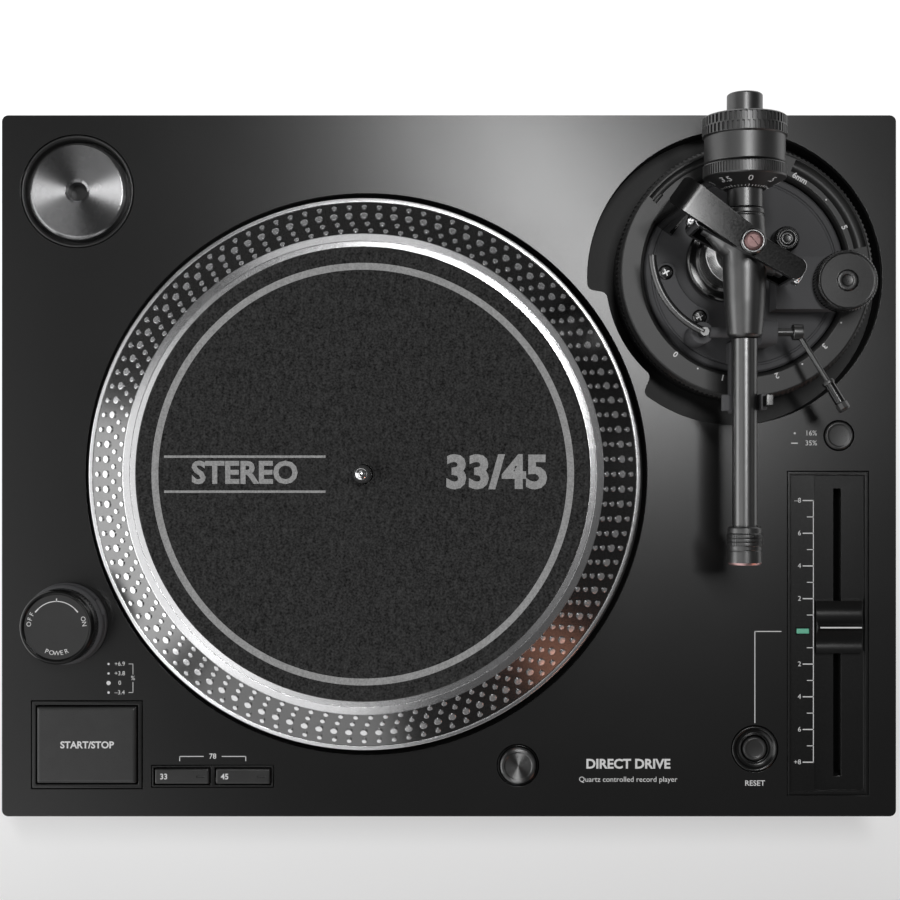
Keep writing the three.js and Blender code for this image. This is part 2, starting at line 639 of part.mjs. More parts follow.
function heightLockKnob() {
  const low = BASE.top + GAP;
  return turned([[0, BASE.top - LOCK.stemLength], [LOCK.stem, BASE.top - LOCK.stemLength], [LOCK.stem, low],
    [LOCK.radius, low], [LOCK.radius, LOCK.top - 0.8], [LOCK.radius - 0.8, LOCK.top], [0, LOCK.top]], SMALL);
}

// Its post stands on the base inside the height ring, and leans out over the ring above it.
function overheadBracket() {
  const nose = bracketLow();
  const reach = BRACKET.outer - BRACKET.inner;
  const middle = (BRACKET.outer + BRACKET.inner) / 2;
  const turn = THREE.MathUtils.degToRad(BRACKET.bearing);
  const foot = block(reach, BRACKET.width, BASE.top + GAP, OVER_RING + 1, middle, 0);
  foot.rotateZ(turn);
  const post = block(reach, BRACKET.width, OVER_RING, nose + 1, middle, 0);
  const shape = new THREE.Shape();
  const half = BRACKET.width / 2;
  shape.moveTo(BRACKET.outer, half);
  shape.absarc(0, 0, BRACKET.nose, Math.PI / 2, 1.5 * Math.PI);
  shape.lineTo(BRACKET.outer, -half);
  shape.closePath();
  const arm = extruded(shape, nose, nose + BRACKET.thick, 8);
  const upper = joined(post, arm);
  upper.rotateZ(turn);
  const bore = disc(CAP.pin + GAP, nose - 1, nose + BRACKET.thick + 1, SMALL);
  return cut(joined(kept(foot, insideRing()), upper), bore);
}

function gimbalTop() {
  return PIVOT.axis + GIMBAL.window + GIMBAL.bar;
}

function bracketLow() {
  return gimbalTop() + GAP;
}

function pivotCap() {
  const low = bracketLow() + BRACKET.thick + GAP;
  return turned([[0, bracketLow()], [CAP.pin, bracketLow()], [CAP.pin, low], [CAP.radius, low],
    [CAP.radius, low + CAP.thick - 0.5], [CAP.radius - 0.5, low + CAP.thick], [0, low + CAP.thick]], SMALL);
}

function armRest() {
  const tubeLeft = -ARM.tube - REST.tubeGap;
  const tubeRight = ARM.tube + REST.tubeGap;
  const middle = REST.front + REST.depth / 2;
  const rear = REST.beamRear;
  const foot = block(REST.width, REST.foot, BASE.top + GAP, REST.beamHigh, 0, rear - REST.foot / 2);
  const beam = block(REST.width, rear - REST.front, REST.beamLow, REST.beamHigh, 0, (rear + REST.front) / 2);
  const saddleTop = PIVOT.axis - ARM.tube - REST.saddleGap;
  const saddleLow = saddleTop - REST.saddleThick;
  const post = block(REST.width, REST.depth, REST.beamLow, saddleTop, 0, middle);
  const saddleWidth = tubeRight - tubeLeft + 2 * REST.prong;
  const saddle = block(saddleWidth, REST.depth, saddleLow, saddleTop, 0, middle);
  const prongTop = clipAxis().y - CLIP.thick / 2 - GAP;
  const prong = block(REST.prong, REST.depth, saddleLow, prongTop, tubeRight + REST.prong / 2, middle);
  return joined(foot, beam, post, saddle, prong);
}

// The clip's hinge, seen along the tube: X across the arm, Y standing for height.
function clipAxis() {
  const x = ARM.tube + REST.tubeGap + REST.prong / 2;
  const z = PIVOT.axis + ARM.tube + CLIP.lift + CLIP.thick / 2;
  return new THREE.Vector2(x, z);
}

// The clip stands open. Its hook points to the tube's side, and comes down over the tube when it closes.
function armClip() {
  const { x, y: z } = clipAxis();
  const y = REST.front + REST.depth / 2;
  const end = z + x + ARM.tube + CLIP.over;
  const bar = block(CLIP.thick, CLIP.width, z - CLIP.thick / 2, end, x, y);
  const hook = block(CLIP.thick + CLIP.hook, CLIP.width, end - 1, end, x - CLIP.hook / 2, y);
  return joined(bar, hook);
}

function liftRail() {
  const points = [];
  const steps = 10;
  for (let step = 0; step <= steps; step += 1) {
    const point = liftPoint(LIFT.from + ((LIFT.to - LIFT.from) * step) / steps);
    points.push(new THREE.Vector3(point.x, point.y, LIFT.height));
  }
  const section = new THREE.Shape();
  section.absarc(0, 0, LIFT.rod, 0, 2 * Math.PI);
  const path = new THREE.CatmullRomCurve3(points);
  const rail = new THREE.ExtrudeGeometry(section, { extrudePath: path, steps: 14, curveSegments: 4 });
  const post = liftPoint(LIFT.to);
  const pinFoot = new THREE.Vector3(post.x, post.y, LIFT.pinFoot);
  const pinTop = new THREE.Vector3(post.x, post.y, LIFT.height + LIFT.rod);
  return joined(rail, rod(pinFoot, pinTop, LIFT.pin));
}

function cueLever() {
  const from = new THREE.Vector3(CUE.left, CUE.y, CUE.z);
  const hubStart = new THREE.Vector3(CUE.right, CUE.y, CUE.z);
  const hubEnd = new THREE.Vector3(CUE.right + CUE.hubWidth, CUE.y, CUE.z);
  const hubMiddle = new THREE.Vector3(CUE.right + CUE.hubWidth / 2, CUE.y, CUE.z);
  const gripStart = hubMiddle.clone().lerp(CUE_TIP, 0.66);
  return joined(
    rod(from, hubEnd, CUE.rod),
    rod(hubStart, hubEnd, CUE.hub),
    rod(hubMiddle, CUE_TIP, CUE.lever),
    rod(gripStart, CUE_TIP, CUE.grip),
  );
}

// ---------------------------------------------------------------- gimbal and arm
// The gimbal is a window frame that stands across the arm and turns with it about the pillar.
function gimbalFrame() {
  const low = PIVOT.axis - GIMBAL.window - GIMBAL.bar;
  const outer = block(2 * GIMBAL.half, GIMBAL.width, low, gimbalTop());
  const open = GIMBAL.half - GIMBAL.side;
  const window = block(2 * open, GIMBAL.width + 2, PIVOT.axis - GIMBAL.window, PIVOT.axis + GIMBAL.window);
  const foot = disc(PILLAR.bore, PILLAR.top - PILLAR.boreDepth + 1, low + 1, SMALL);
  const pins = [-1, 1].map((side) => rod(
    new THREE.Vector3(side * (open + 1), 0, PIVOT.axis),
    new THREE.Vector3(side * (open - GIMBAL.pinReach), 0, PIVOT.axis),
    GIMBAL.pin,
  ));
  return joined(cut(outer, window), foot, ...pins);
}

// Turned pieces of the arm are modelled with their axis on Z, forward being up, then laid along -Y.
function alongArm(geometry) {
  geometry.rotateX(Math.PI / 2);
  return moved(geometry, 0, 0, PIVOT.axis);
}

function armHousing() {
  const body = alongArm(turned([[0, ARM.housingRear], [ARM.housingRadius - 0.4, ARM.housingRear],
    [ARM.housingRadius, 0], [ARM.housingRadius - 0.2, 10], [NOSE_RADIUS, ARM.housingFront - 0.6],
    [NOSE_RADIUS - 0.5, ARM.housingFront], [0, ARM.housingFront]], MID));
  const turn = THREE.MathUtils.degToRad(PIVOT.gimbalTurn);
  const across = new THREE.Vector3(Math.cos(turn), Math.sin(turn), 0);
  const at = (reach) => new THREE.Vector3(0, 0, PIVOT.axis).addScaledVector(across, reach);
  const ears = rod(at(-EAR.reach), at(EAR.reach), EAR.radius);
  const bores = [-1, 1].map((side) => rod(
    at(side * (EAR.reach + 1)), at(side * (EAR.reach - EAR.bore)), GIMBAL.pin + RUN));
  return cut(joined(body, ears), ...bores);
}

function armTube() {
  const rear = ARM.housingFront + GAP;
  const inner = ARM.tube - ARM.tubeWall;
  const end = COLLAR.start + COLLAR.length - COLLAR.plugShort;
  const step = COLLAR.start - GAP;
  return alongArm(turned([[inner, rear], [ARM.tube, rear], [ARM.tube, step], [COLLAR.plug, step],
    [COLLAR.plug, end], [0, end], [0, step - 2], [inner, step - 2], [inner, rear]], SMALL));
}

function lockingCollar() {
  const end = COLLAR.start + COLLAR.length;
  const outer = COLLAR_BORE + COLLAR.wall;
  return alongArm(turned([[COLLAR_BORE, COLLAR.start], [outer - EDGE, COLLAR.start],
    [outer, COLLAR.start + EDGE], [outer, end - EDGE], [outer - EDGE, end], [COLLAR_BORE, end],
    [COLLAR_BORE, COLLAR.start]], SMALL));
}

function counterweightShaft() {
  return alongArm(disc(SHAFT.radius, SHAFT.end, ARM.housingRear - GAP, MID));
}

const SHAFT_BORE = SHAFT.radius + 0.25;
const DIAL_END = DIAL.front - DIAL.length;
const WEIGHT_FRONT = DIAL_END - GAP;
const WEIGHT_END = WEIGHT_FRONT - WEIGHT.length;

function weightDial() {
  const knurl = DIAL.front - DIAL.coneLength;
  return alongArm(turned([[SHAFT_BORE, DIAL_END], [DIAL.radius, DIAL_END], [DIAL.radius, knurl],
    [DIAL.coneRadius, DIAL.front], [SHAFT_BORE, DIAL.front], [SHAFT_BORE, DIAL_END]], MID));
}

function weightBush() {
  return alongArm(ring(SHAFT_BORE, WEIGHT.bush, WEIGHT_END + 1, WEIGHT_FRONT - 1, MID));
}

function counterweight() {
  const step = WEIGHT_END + WEIGHT.gripLength;
  const bore = WEIGHT.bush + GAP;
  return alongArm(turned([[bore, WEIGHT_END], [WEIGHT.grip - 1, WEIGHT_END], [WEIGHT.grip, WEIGHT_END + 1],
    [WEIGHT.grip, step], [WEIGHT.body, step], [WEIGHT.body, WEIGHT_FRONT], [bore, WEIGHT_FRONT],
    [bore, WEIGHT_END]], MID));
}

// ---------------------------------------------------------------- materials
function material(color, roughness, metalness) {
  return new THREE.MeshStandardMaterial({ color, roughness, metalness });
}

const MATERIAL = {
  deck: material(0x1b1b1c, 0.45, 0.3),
  plastic: material(0x151515, 0.55, 0),
  gloss: material(0x1c1c1d, 0.25, 0),
  rubber: material(0x0d0d0d, 0.85, 0),
  aluminium: material(0xb9bbbe, 0.3, 1),
  steel: material(0x8d8f92, 0.28, 1),
  chrome: material(0xd8d8da, 0.08, 1),
  felt: material(0x2b2b2b, 1, 0),
  darkMetal: material(0x2a2a2c, 0.35, 0.8),
  copper: material(0xb87a5a, 0.4, 0.9),
  magnet: material(0x3a3a3d, 0.6, 0.5),
  board: material(0x1c4a2a, 0.6, 0),
  green: material(0x2f8f63, 0.4, 0),
};

// ---------------------------------------------------------------- assembly
function group(parent, x = 0, y = 0, z = 0) {
  const made = new THREE.Group();
  made.position.set(x, y, z);
  parent.add(made);
  return made;
}

function place(parent, name, geometry, look, x = 0, y = 0, z = 0) {
  const mesh = new THREE.Mesh(geometry, look);
  mesh.name = name;
  mesh.position.set(x, y, z);
  parent.add(mesh);
  return mesh;
}

function addPlinth(deck, table) {
  place(deck, "face_plate", facePlate(), MATERIAL.deck);
  place(deck, "chassis", chassis(), MATERIAL.plastic);
  place(deck, "bottom_pan", bottomPan(), MATERIAL.plastic);
  place(deck, "control_board", controlBoard(), MATERIAL.board, BOARD.x, BOARD.y);
  for (const [side, x] of [["left", LEFT + FOOT.inset], ["right", RIGHT - FOOT.inset]]) {
    for (const [end, y] of [["front", FRONT + FOOT.inset], ["rear", BACK - FOOT.inset]]) {
      place(table, `foot_${end}_${side}`, foot(), MATERIAL.rubber, x, y);
    }
  }
}

function addRearConnectors(deck) {
  const bay = group(deck, BAY.x, BACK - BAY.depth, 0);
  place(bay, "rear_bay", rearBay(), MATERIAL.plastic);
  place(bay, "phono_jack_left", phonoJack(), MATERIAL.chrome, JACK.left, 0, BAY.middle);
  place(bay, "phono_jack_right", phonoJack(), MATERIAL.chrome, JACK.right, 0, BAY.middle);
  place(bay, "ground_nut", groundNut(), MATERIAL.chrome, NUT.offset, 0, BAY.middle);
  place(bay, "line_switch", lineSwitch(), MATERIAL.plastic);
  place(bay, "power_inlet", powerInlet(), MATERIAL.plastic, INLET.offset, 0, BAY.middle);
}

function addPlatter(deck) {
  const axis = group(deck, PLATTER.x, PLATTER.y);
  place(axis, "platter_well", platterWell(), MATERIAL.plastic);
  place(axis, "motor_stator", motorStator(), MATERIAL.copper);
  place(axis, "bearing_housing", bearingHousing(), MATERIAL.steel);
  place(axis, "platter", platter(), MATERIAL.aluminium);
  place(axis, "rotor_magnet", rotorMagnet(), MATERIAL.magnet);
  place(axis, "spindle", spindle(), MATERIAL.chrome);
  place(axis, "slipmat", slipmat(), MATERIAL.felt);
}

function addAdapter(deck) {
  const cup = group(deck, ADAPTER.x, ADAPTER.y);
  place(cup, "adapter_cup", adapterCup(), MATERIAL.gloss);
  place(cup, "adapter_45", adapter(), MATERIAL.aluminium);
}

function addLeftControls(deck) {
  place(deck, "strobe_housing", strobeHousing(), MATERIAL.plastic, POWER.x, POWER.y);
  place(deck, "power_knob", powerKnob(), MATERIAL.gloss, POWER.x, POWER.y);
  place(deck, "start_stop_frame", buttonFrame(START, 1, 0), MATERIAL.plastic, START.x, START.y);
  place(deck, "start_stop_button", button(START), MATERIAL.gloss, START.x, START.y);
  place(deck, "speed_frame", buttonFrame(SPEED, 2, SPEED.pitch), MATERIAL.plastic, SPEED.x, SPEED.y);
  place(deck, "speed_button_33", button(SPEED), MATERIAL.gloss, SPEED.x - SPEED.pitch / 2, SPEED.y);
  place(deck, "speed_button_45", button(SPEED), MATERIAL.gloss, SPEED.x + SPEED.pitch / 2, SPEED.y);
  place(deck, "target_light_sleeve", targetSleeve(), MATERIAL.plastic, TARGET.x, TARGET.y);
  place(deck, "target_light", targetLight(), MATERIAL.darkMetal, TARGET.x, TARGET.y);
}

function addRightControls(deck) {
  place(deck, "pitch_panel", pitchPanel(), MATERIAL.plastic, PITCH.x, PITCH.y);
  place(deck, "pitch_led", pitchLed(), MATERIAL.green, LED.x, LED.y);
  place(deck, "pitch_fader_track", faderTrack(), MATERIAL.steel, PITCH.slotX, PITCH.slotY);
  place(deck, "pitch_fader_knob", faderKnob(), MATERIAL.gloss, PITCH.slotX, PITCH.slotY + FADER.offset);
  place(deck, "pitch_range_button", roundButton(RANGE), MATERIAL.gloss, RANGE.x, RANGE.y);
  place(deck, "reset_ring", resetRing(), MATERIAL.plastic, RESET.x, RESET.y);
  place(deck, "reset_button", roundButton(RESET), MATERIAL.gloss, RESET.x, RESET.y);
}

function addArmBase(deck, pivot) {
  place(deck, "arm_pit", armPit(), MATERIAL.plastic);
  place(deck, "height_ring", heightRing(), MATERIAL.plastic, RING.x, RING.y);
  place(pivot, "arm_base", armBase(), MATERIAL.plastic);
  place(pivot, "pivot_pillar", pivotPillar(), MATERIAL.chrome);
  place(pivot, "anti_skate_housing", antiSkateHousing(), MATERIAL.plastic);
  place(pivot, "anti_skate_knob", antiSkateKnob(), MATERIAL.plastic, SKATE.x, SKATE.y);
  place(pivot, "height_lock_knob", heightLockKnob(), MATERIAL.plastic, LOCK.x, LOCK.y);
  place(pivot, "lift_rail", liftRail(), MATERIAL.darkMetal);
  place(pivot, "cue_lever", cueLever(), MATERIAL.darkMetal);
  place(pivot, "arm_rest", armRest(), MATERIAL.plastic);
  place(pivot, "arm_clip", armClip(), MATERIAL.plastic);
  place(pivot, "overhead_bracket", overheadBracket(), MATERIAL.darkMetal);
  place(pivot, "pivot_cap", pivotCap(), MATERIAL.chrome);
}

function addArm(pivot) {
  const gimbal = place(pivot, "gimbal_frame", gimbalFrame(), MATERIAL.darkMetal);
  gimbal.rotation.z = THREE.MathUtils.degToRad(PIVOT.gimbalTurn);
  place(pivot, "arm_housing", armHousing(), MATERIAL.darkMetal);
  place(pivot, "arm_tube", armTube(), MATERIAL.darkMetal);
  place(pivot, "locking_collar", lockingCollar(), MATERIAL.darkMetal);
  place(pivot, "counterweight_shaft", counterweightShaft(), MATERIAL.darkMetal);
  place(pivot, "weight_dial", weightDial(), MATERIAL.plastic);
  place(pivot, "weight_bush", weightBush(), MATERIAL.plastic);
  place(pivot, "counterweight", counterweight(), MATERIAL.darkMetal);
}

function turntable() {
  const table = new THREE.Group();
  const deck = group(table, 0, 0, TOP);
  const pivot = group(deck, PIVOT.x, PIVOT.y);
  addPlinth(deck, table);
  addRearConnectors(deck);
  addPlatter(deck);
  addAdapter(deck);
  addLeftControls(deck);
  addRightControls(deck);
  addArmBase(deck, pivot);
  addArm(pivot);
  return table;
}

const turntableGroup = turntable();

export default turntableGroup;
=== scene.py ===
import math

import bpy
from bpy.props import FloatProperty, FloatVectorProperty, PointerProperty
from mathutils import Matrix, Vector


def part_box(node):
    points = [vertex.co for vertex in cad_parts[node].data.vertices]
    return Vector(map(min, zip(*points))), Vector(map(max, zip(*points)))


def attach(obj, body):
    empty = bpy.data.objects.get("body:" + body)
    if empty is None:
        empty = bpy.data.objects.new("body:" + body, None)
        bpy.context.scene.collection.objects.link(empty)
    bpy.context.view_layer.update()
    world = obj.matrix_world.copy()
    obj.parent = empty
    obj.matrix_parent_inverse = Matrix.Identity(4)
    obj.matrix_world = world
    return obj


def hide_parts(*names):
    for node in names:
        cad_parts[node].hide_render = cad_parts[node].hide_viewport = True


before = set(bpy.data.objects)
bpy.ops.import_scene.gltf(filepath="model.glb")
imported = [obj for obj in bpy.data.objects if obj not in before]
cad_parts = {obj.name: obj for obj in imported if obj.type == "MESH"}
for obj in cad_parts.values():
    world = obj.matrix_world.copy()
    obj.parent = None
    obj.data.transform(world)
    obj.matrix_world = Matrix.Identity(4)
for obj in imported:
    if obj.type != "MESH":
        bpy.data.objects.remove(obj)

bl_info = {
    "name": "Compact turntable",
    "version": (1, 0, 0),
    "blender": (4, 5, 0),
    "location": "3D View > Sidebar > Turntable",
    "description": "Models the visible pieces of a compact record player round its packed frame",
    "category": "Object",
}

MM = 0.001
FULL = 2 * math.pi
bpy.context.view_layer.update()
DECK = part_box("face_plate")[1].z
INK = 0.05 * MM  # how thick printed lettering is
SINK = 0.02 * MM  # how far it goes into what it is printed on
CLEAR = 0.3 * MM  # gap between neighbours in the frame


# ------------------------------------------------------------------ where the frame's nodes are
class Spot:
    """A CAD node's box at rest: its middle, its width and depth, and its lowest and highest Z."""

    def __init__(self, node):
        low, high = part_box(node)
        self.x, self.y, self.z = (low + high) / 2
        self.width, self.depth, self.height = high - low
        self.radius = self.width / 2
        self.left, self.front, self.low = low
        self.right, self.back, self.high = high


# ------------------------------------------------------------------ sizes, colours and the stage
def length(name, description, millimetres):
    return FloatProperty(
        name=name, description=description, default=millimetres * MM, min=0, unit="LENGTH", precision=5)


def colour(name, description, red, green, blue):
    return FloatVectorProperty(
        name=name, description=description, default=(red, green, blue), subtype="COLOR", min=0, max=1)


class TurntableSizes(bpy.types.PropertyGroup):
    """Sizes of what is seen of the turntable."""

    corner: length("Plinth corner", "Radius of the plinth's upright corners", 2.5)
    plate_edge: length("Plate edge", "Rounding of the deck plate's edges", 0.35)
    shell: length("Casing wall", "Wall of the casing", 3)
    well_wall: length("Well wall", "Wall of the platter's well", 1.5)
    pit_radius: length("Pit radius", "Radius of the tonearm's pit", 58.1)
    pit_neck: length("Pit neck", "Radius of the pit's narrow stretch beside the platter", 50.7)
    pit_round: length("Pit rounding", "Rounding of the steps between the pit's two radii", 2.4)
    lip: length("Platter lip", "Width of the flat ring at the platter's edge", 1.5)
    band: length("Strobe band", "Width of the band of strobe dots", 13.8)
    bevel: length("Platter bevel", "Width of the bevel inside the strobe band", 2.8)
    dot_height: length("Dot height", "How far a strobe dot stands up", 0.35)
    print_outer: length("Mat ring", "Outer radius of the ring printed on the mat", 79.7)
    print_width: length("Mat ring width", "Width of the ring printed on the mat", 2.6)
    scale_pitch: length("Pitch scale", "Distance between two marks of the pitch scale", 6.44)
    ring_inner: length("Height ring bore", "Inner radius of the height ring", 39.4)
    rail: length("Lift rail", "Radius of the lift rail's rod", 1.5)


class TurntableColours(bpy.types.PropertyGroup):
    """Base colours of the main finishes."""

    deck: colour("Deck", "Satin paint of the deck plate", 0.008, 0.008, 0.008)
    plastic: colour("Plastic", "Moulded black plastic", 0.008, 0.008, 0.008)
    anodised: colour("Arm", "Black anodised metal of the tonearm", 0.16, 0.16, 0.16)
    aluminium: colour("Aluminium", "Turned aluminium of the platter", 0.78, 0.78, 0.79)
    felt: colour("Felt", "Felt of the mat", 0.031, 0.031, 0.031)
    ink: colour("Ink", "White printing", 0.88, 0.88, 0.88)
    warm: colour("Rose metal", "Rose-tinted metal of the pivot's cap and contacts", 0.72, 0.46, 0.45)


class TurntableStage(bpy.types.PropertyGroup):
    """The camera and the lights."""

    camera_height: length("Camera height", "Height of the lens over the table", 674)
    camera_x: FloatProperty(name="Camera X", description="Sideways place of the lens", default=0.4 * MM)
    camera_y: FloatProperty(
        name="Camera Y", description="Place of the lens along the depth", default=-3.7 * MM)
    lens: FloatProperty(name="Lens", description="Focal length in millimetres", default=63)
    shift: FloatProperty(name="Shift", description="Upward shift of the lens", default=0.028)
    sky: FloatProperty(name="Sky", description="Strength of the even light all round", default=0.06)


def sizes():
    return bpy.context.scene.turntable_sizes


def colours():
    return bpy.context.scene.turntable_colours


# ------------------------------------------------------------------ shader arithmetic
class Value:
    """A socket of a finish's node tree, used in ordinary arithmetic."""

    def __init__(self, finish, socket):
        self.finish = finish
        self.socket = socket

    def made(self, operation, *values, clamp=False):
        settings = {"operation": operation, "use_clamp": clamp}
        return self.finish.node("ShaderNodeMath", settings, dict(enumerate(values)))

    def __add__(self, other):
        return self.made("ADD", self, other)

    def __mul__(self, other):
        return self.made("MULTIPLY", self, other)

    def __sub__(self, other):
        return self.made("SUBTRACT", self, other)

    def __rsub__(self, other):
        return self.made("SUBTRACT", other, self)

    def __pow__(self, other):
        return self.made("POWER", self, other)

    def __gt__(self, other):
        return self.made("GREATER_THAN", self, other)

    __radd__ = __add__
    __rmul__ = __mul__

    def sine(self):
        return self.made("SINE", self)

    def between(self, low, high):
        """0 below low, 1 above high, and even in between."""
        return self.made("DIVIDE", self - low, high - low, clamp=True)


class Finish:
    """A material with one Principled shader, built node by node."""

    def __init__(self, name, **constants):
        self.material = bpy.data.materials.new(name)
        self.material.use_nodes = True
        self.tree = self.material.node_tree
        self.tree.nodes.clear()
        self.shader = self.tree.nodes.new("ShaderNodeBsdfPrincipled")
        output = self.tree.nodes.new("ShaderNodeOutputMaterial")
        self.tree.links.new(self.shader.outputs[0], output.inputs["Surface"])
        place = self.tree.nodes.new("ShaderNodeTexCoord")
        self.place = Value(self, place.outputs["Object"])
        self.set(**constants)

    def set(self, **inputs):
        """Sets or links the shader's sockets; base_color stands for Base Color, and so on."""
        for name, value in inputs.items():
            self.fill(self.shader.inputs[name.replace("_", " ").title().replace("Ior", "IOR")], value)
        return self

    def fill(self, socket, value):
        if isinstance(value, Value):
            self.tree.links.new(value.socket, socket)
        elif socket.type == "RGBA":
            socket.default_value = (*value[:3], 1)
        else:
            socket.default_value = value

    def node(self, kind, settings=None, inputs=None, output=0):
        node = self.tree.nodes.new(kind)
        for name, value in (settings or {}).items():
            setattr(node, name, value)
        for key, value in (inputs or {}).items():
            self.fill(node.inputs[key], value)
        return Value(self, node.outputs[output])

    def noise(self, size, detail=2.0, stretch=None):
        """Noise whose lumps are about size across. stretch draws it out along X, Y or Z."""
        place = self.place
        if stretch is not None:
            place = self.node("ShaderNodeMapping", {}, {"Vector": place, "Scale": stretch})
        return self.node("ShaderNodeTexNoise", {}, {"Vector": place, "Scale": 1 / size, "Detail": detail})

    def axes(self, x=0.0, y=0.0, z=0.0):
        """Object coordinates counted from a point."""
        moved = self.node(
            "ShaderNodeVectorMath", {"operation": "SUBTRACT"}, {0: self.place, 1: Vector((x, y, z))})
        split = self.tree.nodes.new("ShaderNodeSeparateXYZ")
        self.fill(split.inputs[0], moved)
        return [Value(self, socket) for socket in split.outputs]

    def radius(self, x, y):
        across, along, _ = self.axes(x, y)
        return (across * across + along * along) ** 0.5

    def mixed(self, factor, first, second):
        """A colour between two colours."""
        return self.node(
            "ShaderNodeMix", {"data_type": "RGBA", "clamp_factor": True}, {0: factor, 6: first, 7: second}, 2)

    def toned(self, base, amount, size, detail=3.0):
        """A colour that wavers round its base by a share of it."""
        dark = [part * (1 - amount) for part in base]
        light = [min(1, part * (1 + amount)) for part in base]
        return self.mixed(self.noise(size, detail), dark, light)

    def bumped(self, height, distance, strength=1.0):
        return self.node(
            "ShaderNodeBump", {}, {"Height": height, "Distance": distance, "Strength": strength})


# ------------------------------------------------------------------ finishes
def satin_paint(name, base, roughness=0.25):
    """Fine powder coat: a close grain with a faint cloud in its gloss."""
    finish = Finish(name, metallic=0.0, coat_roughness=0.2)
    grain = finish.noise(0.35 * MM, 3)
    cloud = finish.noise(40 * MM, 2)
    return finish.set(
        base_color=finish.toned(base, 0.25, 0.5 * MM),
        roughness=roughness - 0.02 + 0.03 * cloud + 0.03 * grain,
        normal=finish.bumped(grain, 0.012 * MM, 0.6),
    )


def moulded(name, base, roughness=0.5, grain_size=0.6 * MM, depth=0.015 * MM, shine=0.5):
    """Moulded plastic with a spark-eroded grain."""
    finish = Finish(name, specular_ior_level=shine)
    grain = finish.noise(grain_size, 4)
    return finish.set(
        base_color=finish.toned(base, 0.2, 6 * MM),
        roughness=roughness - 0.06 + 0.1 * grain,
        normal=finish.bumped(grain, depth, 0.7),
    )


def brushed(name, base, roughness, anisotropy=0.0, x=None, y=None, metal=1.0):
    """Metal turned about an upright axis through x, y, or blasted all over when there is none."""
    finish = Finish(name, metallic=metal, anisotropic=anisotropy, anisotropic_rotation=0.25)
    if x is None:
        mark = finish.noise(0.25 * MM, 2)
    else:
        radius = finish.radius(x, y)
        wander = finish.noise(8 * MM, 2)
        mark = (radius * (FULL / (0.12 * MM)) + 2.5 * wander).sine() * 0.5 + 0.5
    smear = finish.noise(12 * MM, 3)
    return finish.set(
        base_color=finish.toned(base, 0.06, 3 * MM),
        roughness=roughness + 0.05 * smear + 0.03 * mark,
        normal=finish.bumped(mark, 0.004 * MM, 0.5),
    )


def rubber(name):
    finish = Finish(name)
    grain = finish.noise(0.4 * MM, 4)
    return finish.set(
        base_color=finish.toned((0.016, 0.016, 0.016), 0.3, 3 * MM),
        roughness=0.72 + 0.15 * grain,
        normal=finish.bumped(grain, 0.03 * MM, 0.8),
    )


def felt(name, base, spread=0.5):
    """Pressed fibres: light and dark flecks, with the fibres' own relief."""
    finish = Finish(name, sheen_weight=0.25, sheen_roughness=0.5, specular_ior_level=0.1)
    flecks = finish.noise(0.75 * MM, 5)
    fibres = finish.noise(1.6 * MM, 4, (1, 0.35, 1))
    mottle = (0.7 * flecks + 0.3 * fibres).between(0.34, 0.66)
    dark = [part * (1 - spread) for part in base]
    light = [part * (1 + spread) for part in base]
    return finish.set(
        base_color=finish.mixed(mottle, dark, light),
        roughness=0.9 + 0.08 * flecks,
        normal=finish.bumped(flecks + fibres, 0.22 * MM, 0.8),
    )


def ink(name, base, roughness=0.55):
    """Screen printing, slightly uneven where the ink is thin."""
    finish = Finish(name)
    thin = finish.noise(0.3 * MM, 3).between(0.3, 0.75)
    return finish.set(
        base_color=finish.mixed(thin, [part * 0.8 for part in base], base),
        roughness=roughness + 0.1 * thin,
    )


def lens(name):
    """A green lens with a faint glow and a ribbed inside."""
    finish = Finish(name, coat_weight=0.6, coat_roughness=0.08, emission_strength=0.1)
    ribs = (finish.axes()[0] * (FULL / (0.5 * MM))).sine() * 0.5 + 0.5
    shade = finish.mixed(ribs, (0.008, 0.10, 0.065), (0.02, 0.27, 0.17))
    return finish.set(base_color=shade, roughness=0.2 + 0.1 * ribs, emission_color=shade)


def circuit_board(name):
    """Green solder mask over tracks, with black chips and cans above it."""
    finish = Finish(name)
    across, along, height = finish.axes()
    tracks = ((across + along) * (FULL / (4 * MM))).sine() > 0.6
    mask = finish.mixed(tracks, (0.008, 0.09, 0.03), (0.02, 0.17, 0.06))
    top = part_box("control_board")[0].z + 7.5 * MM
    chips = height > top
    return finish.set(
        base_color=finish.mixed(chips, mask, (0.02, 0.02, 0.022)),
        roughness=0.35 + 0.2 * finish.noise(1 * MM),
    )


def windings(name):
    """Copper coils on steel teeth, by their distance from the motor's axis."""
    at = Spot("motor_stator")
    finish = Finish(name, metallic=1.0)
    radius = finish.radius(at.x, at.y)
    teeth = radius > at.radius - 3 * MM
    turns = (finish.axes()[2] * (FULL / (0.5 * MM))).sine() * 0.5 + 0.5
    wire = finish.mixed(turns, (0.42, 0.15, 0.06), (0.75, 0.32, 0.14))
    return finish.set(
        base_color=finish.mixed(teeth, wire, (0.45, 0.45, 0.46)),
        roughness=0.35 + 0.15 * turns,
        normal=finish.bumped(turns, 0.1 * MM, 0.5),
    )


def floor_paper(name):
    finish = Finish(name)
    cloud = finish.noise(0.4, 2)
    shade = finish.mixed(cloud, (0.6, 0.6, 0.6), (0.63, 0.63, 0.63))
    # Painted light: the floor's glow rises from dim at the front to bright at the back, a painted falloff of
    # the lamps' light across the floor.
    glow = finish.mixed(finish.axes()[1].between(-0.3, 0.1), (0.1, 0.1, 0.1), (0.75, 0.75, 0.75))
    return finish.set(base_color=shade, roughness=0.9, emission_color=glow, emission_strength=1.0)


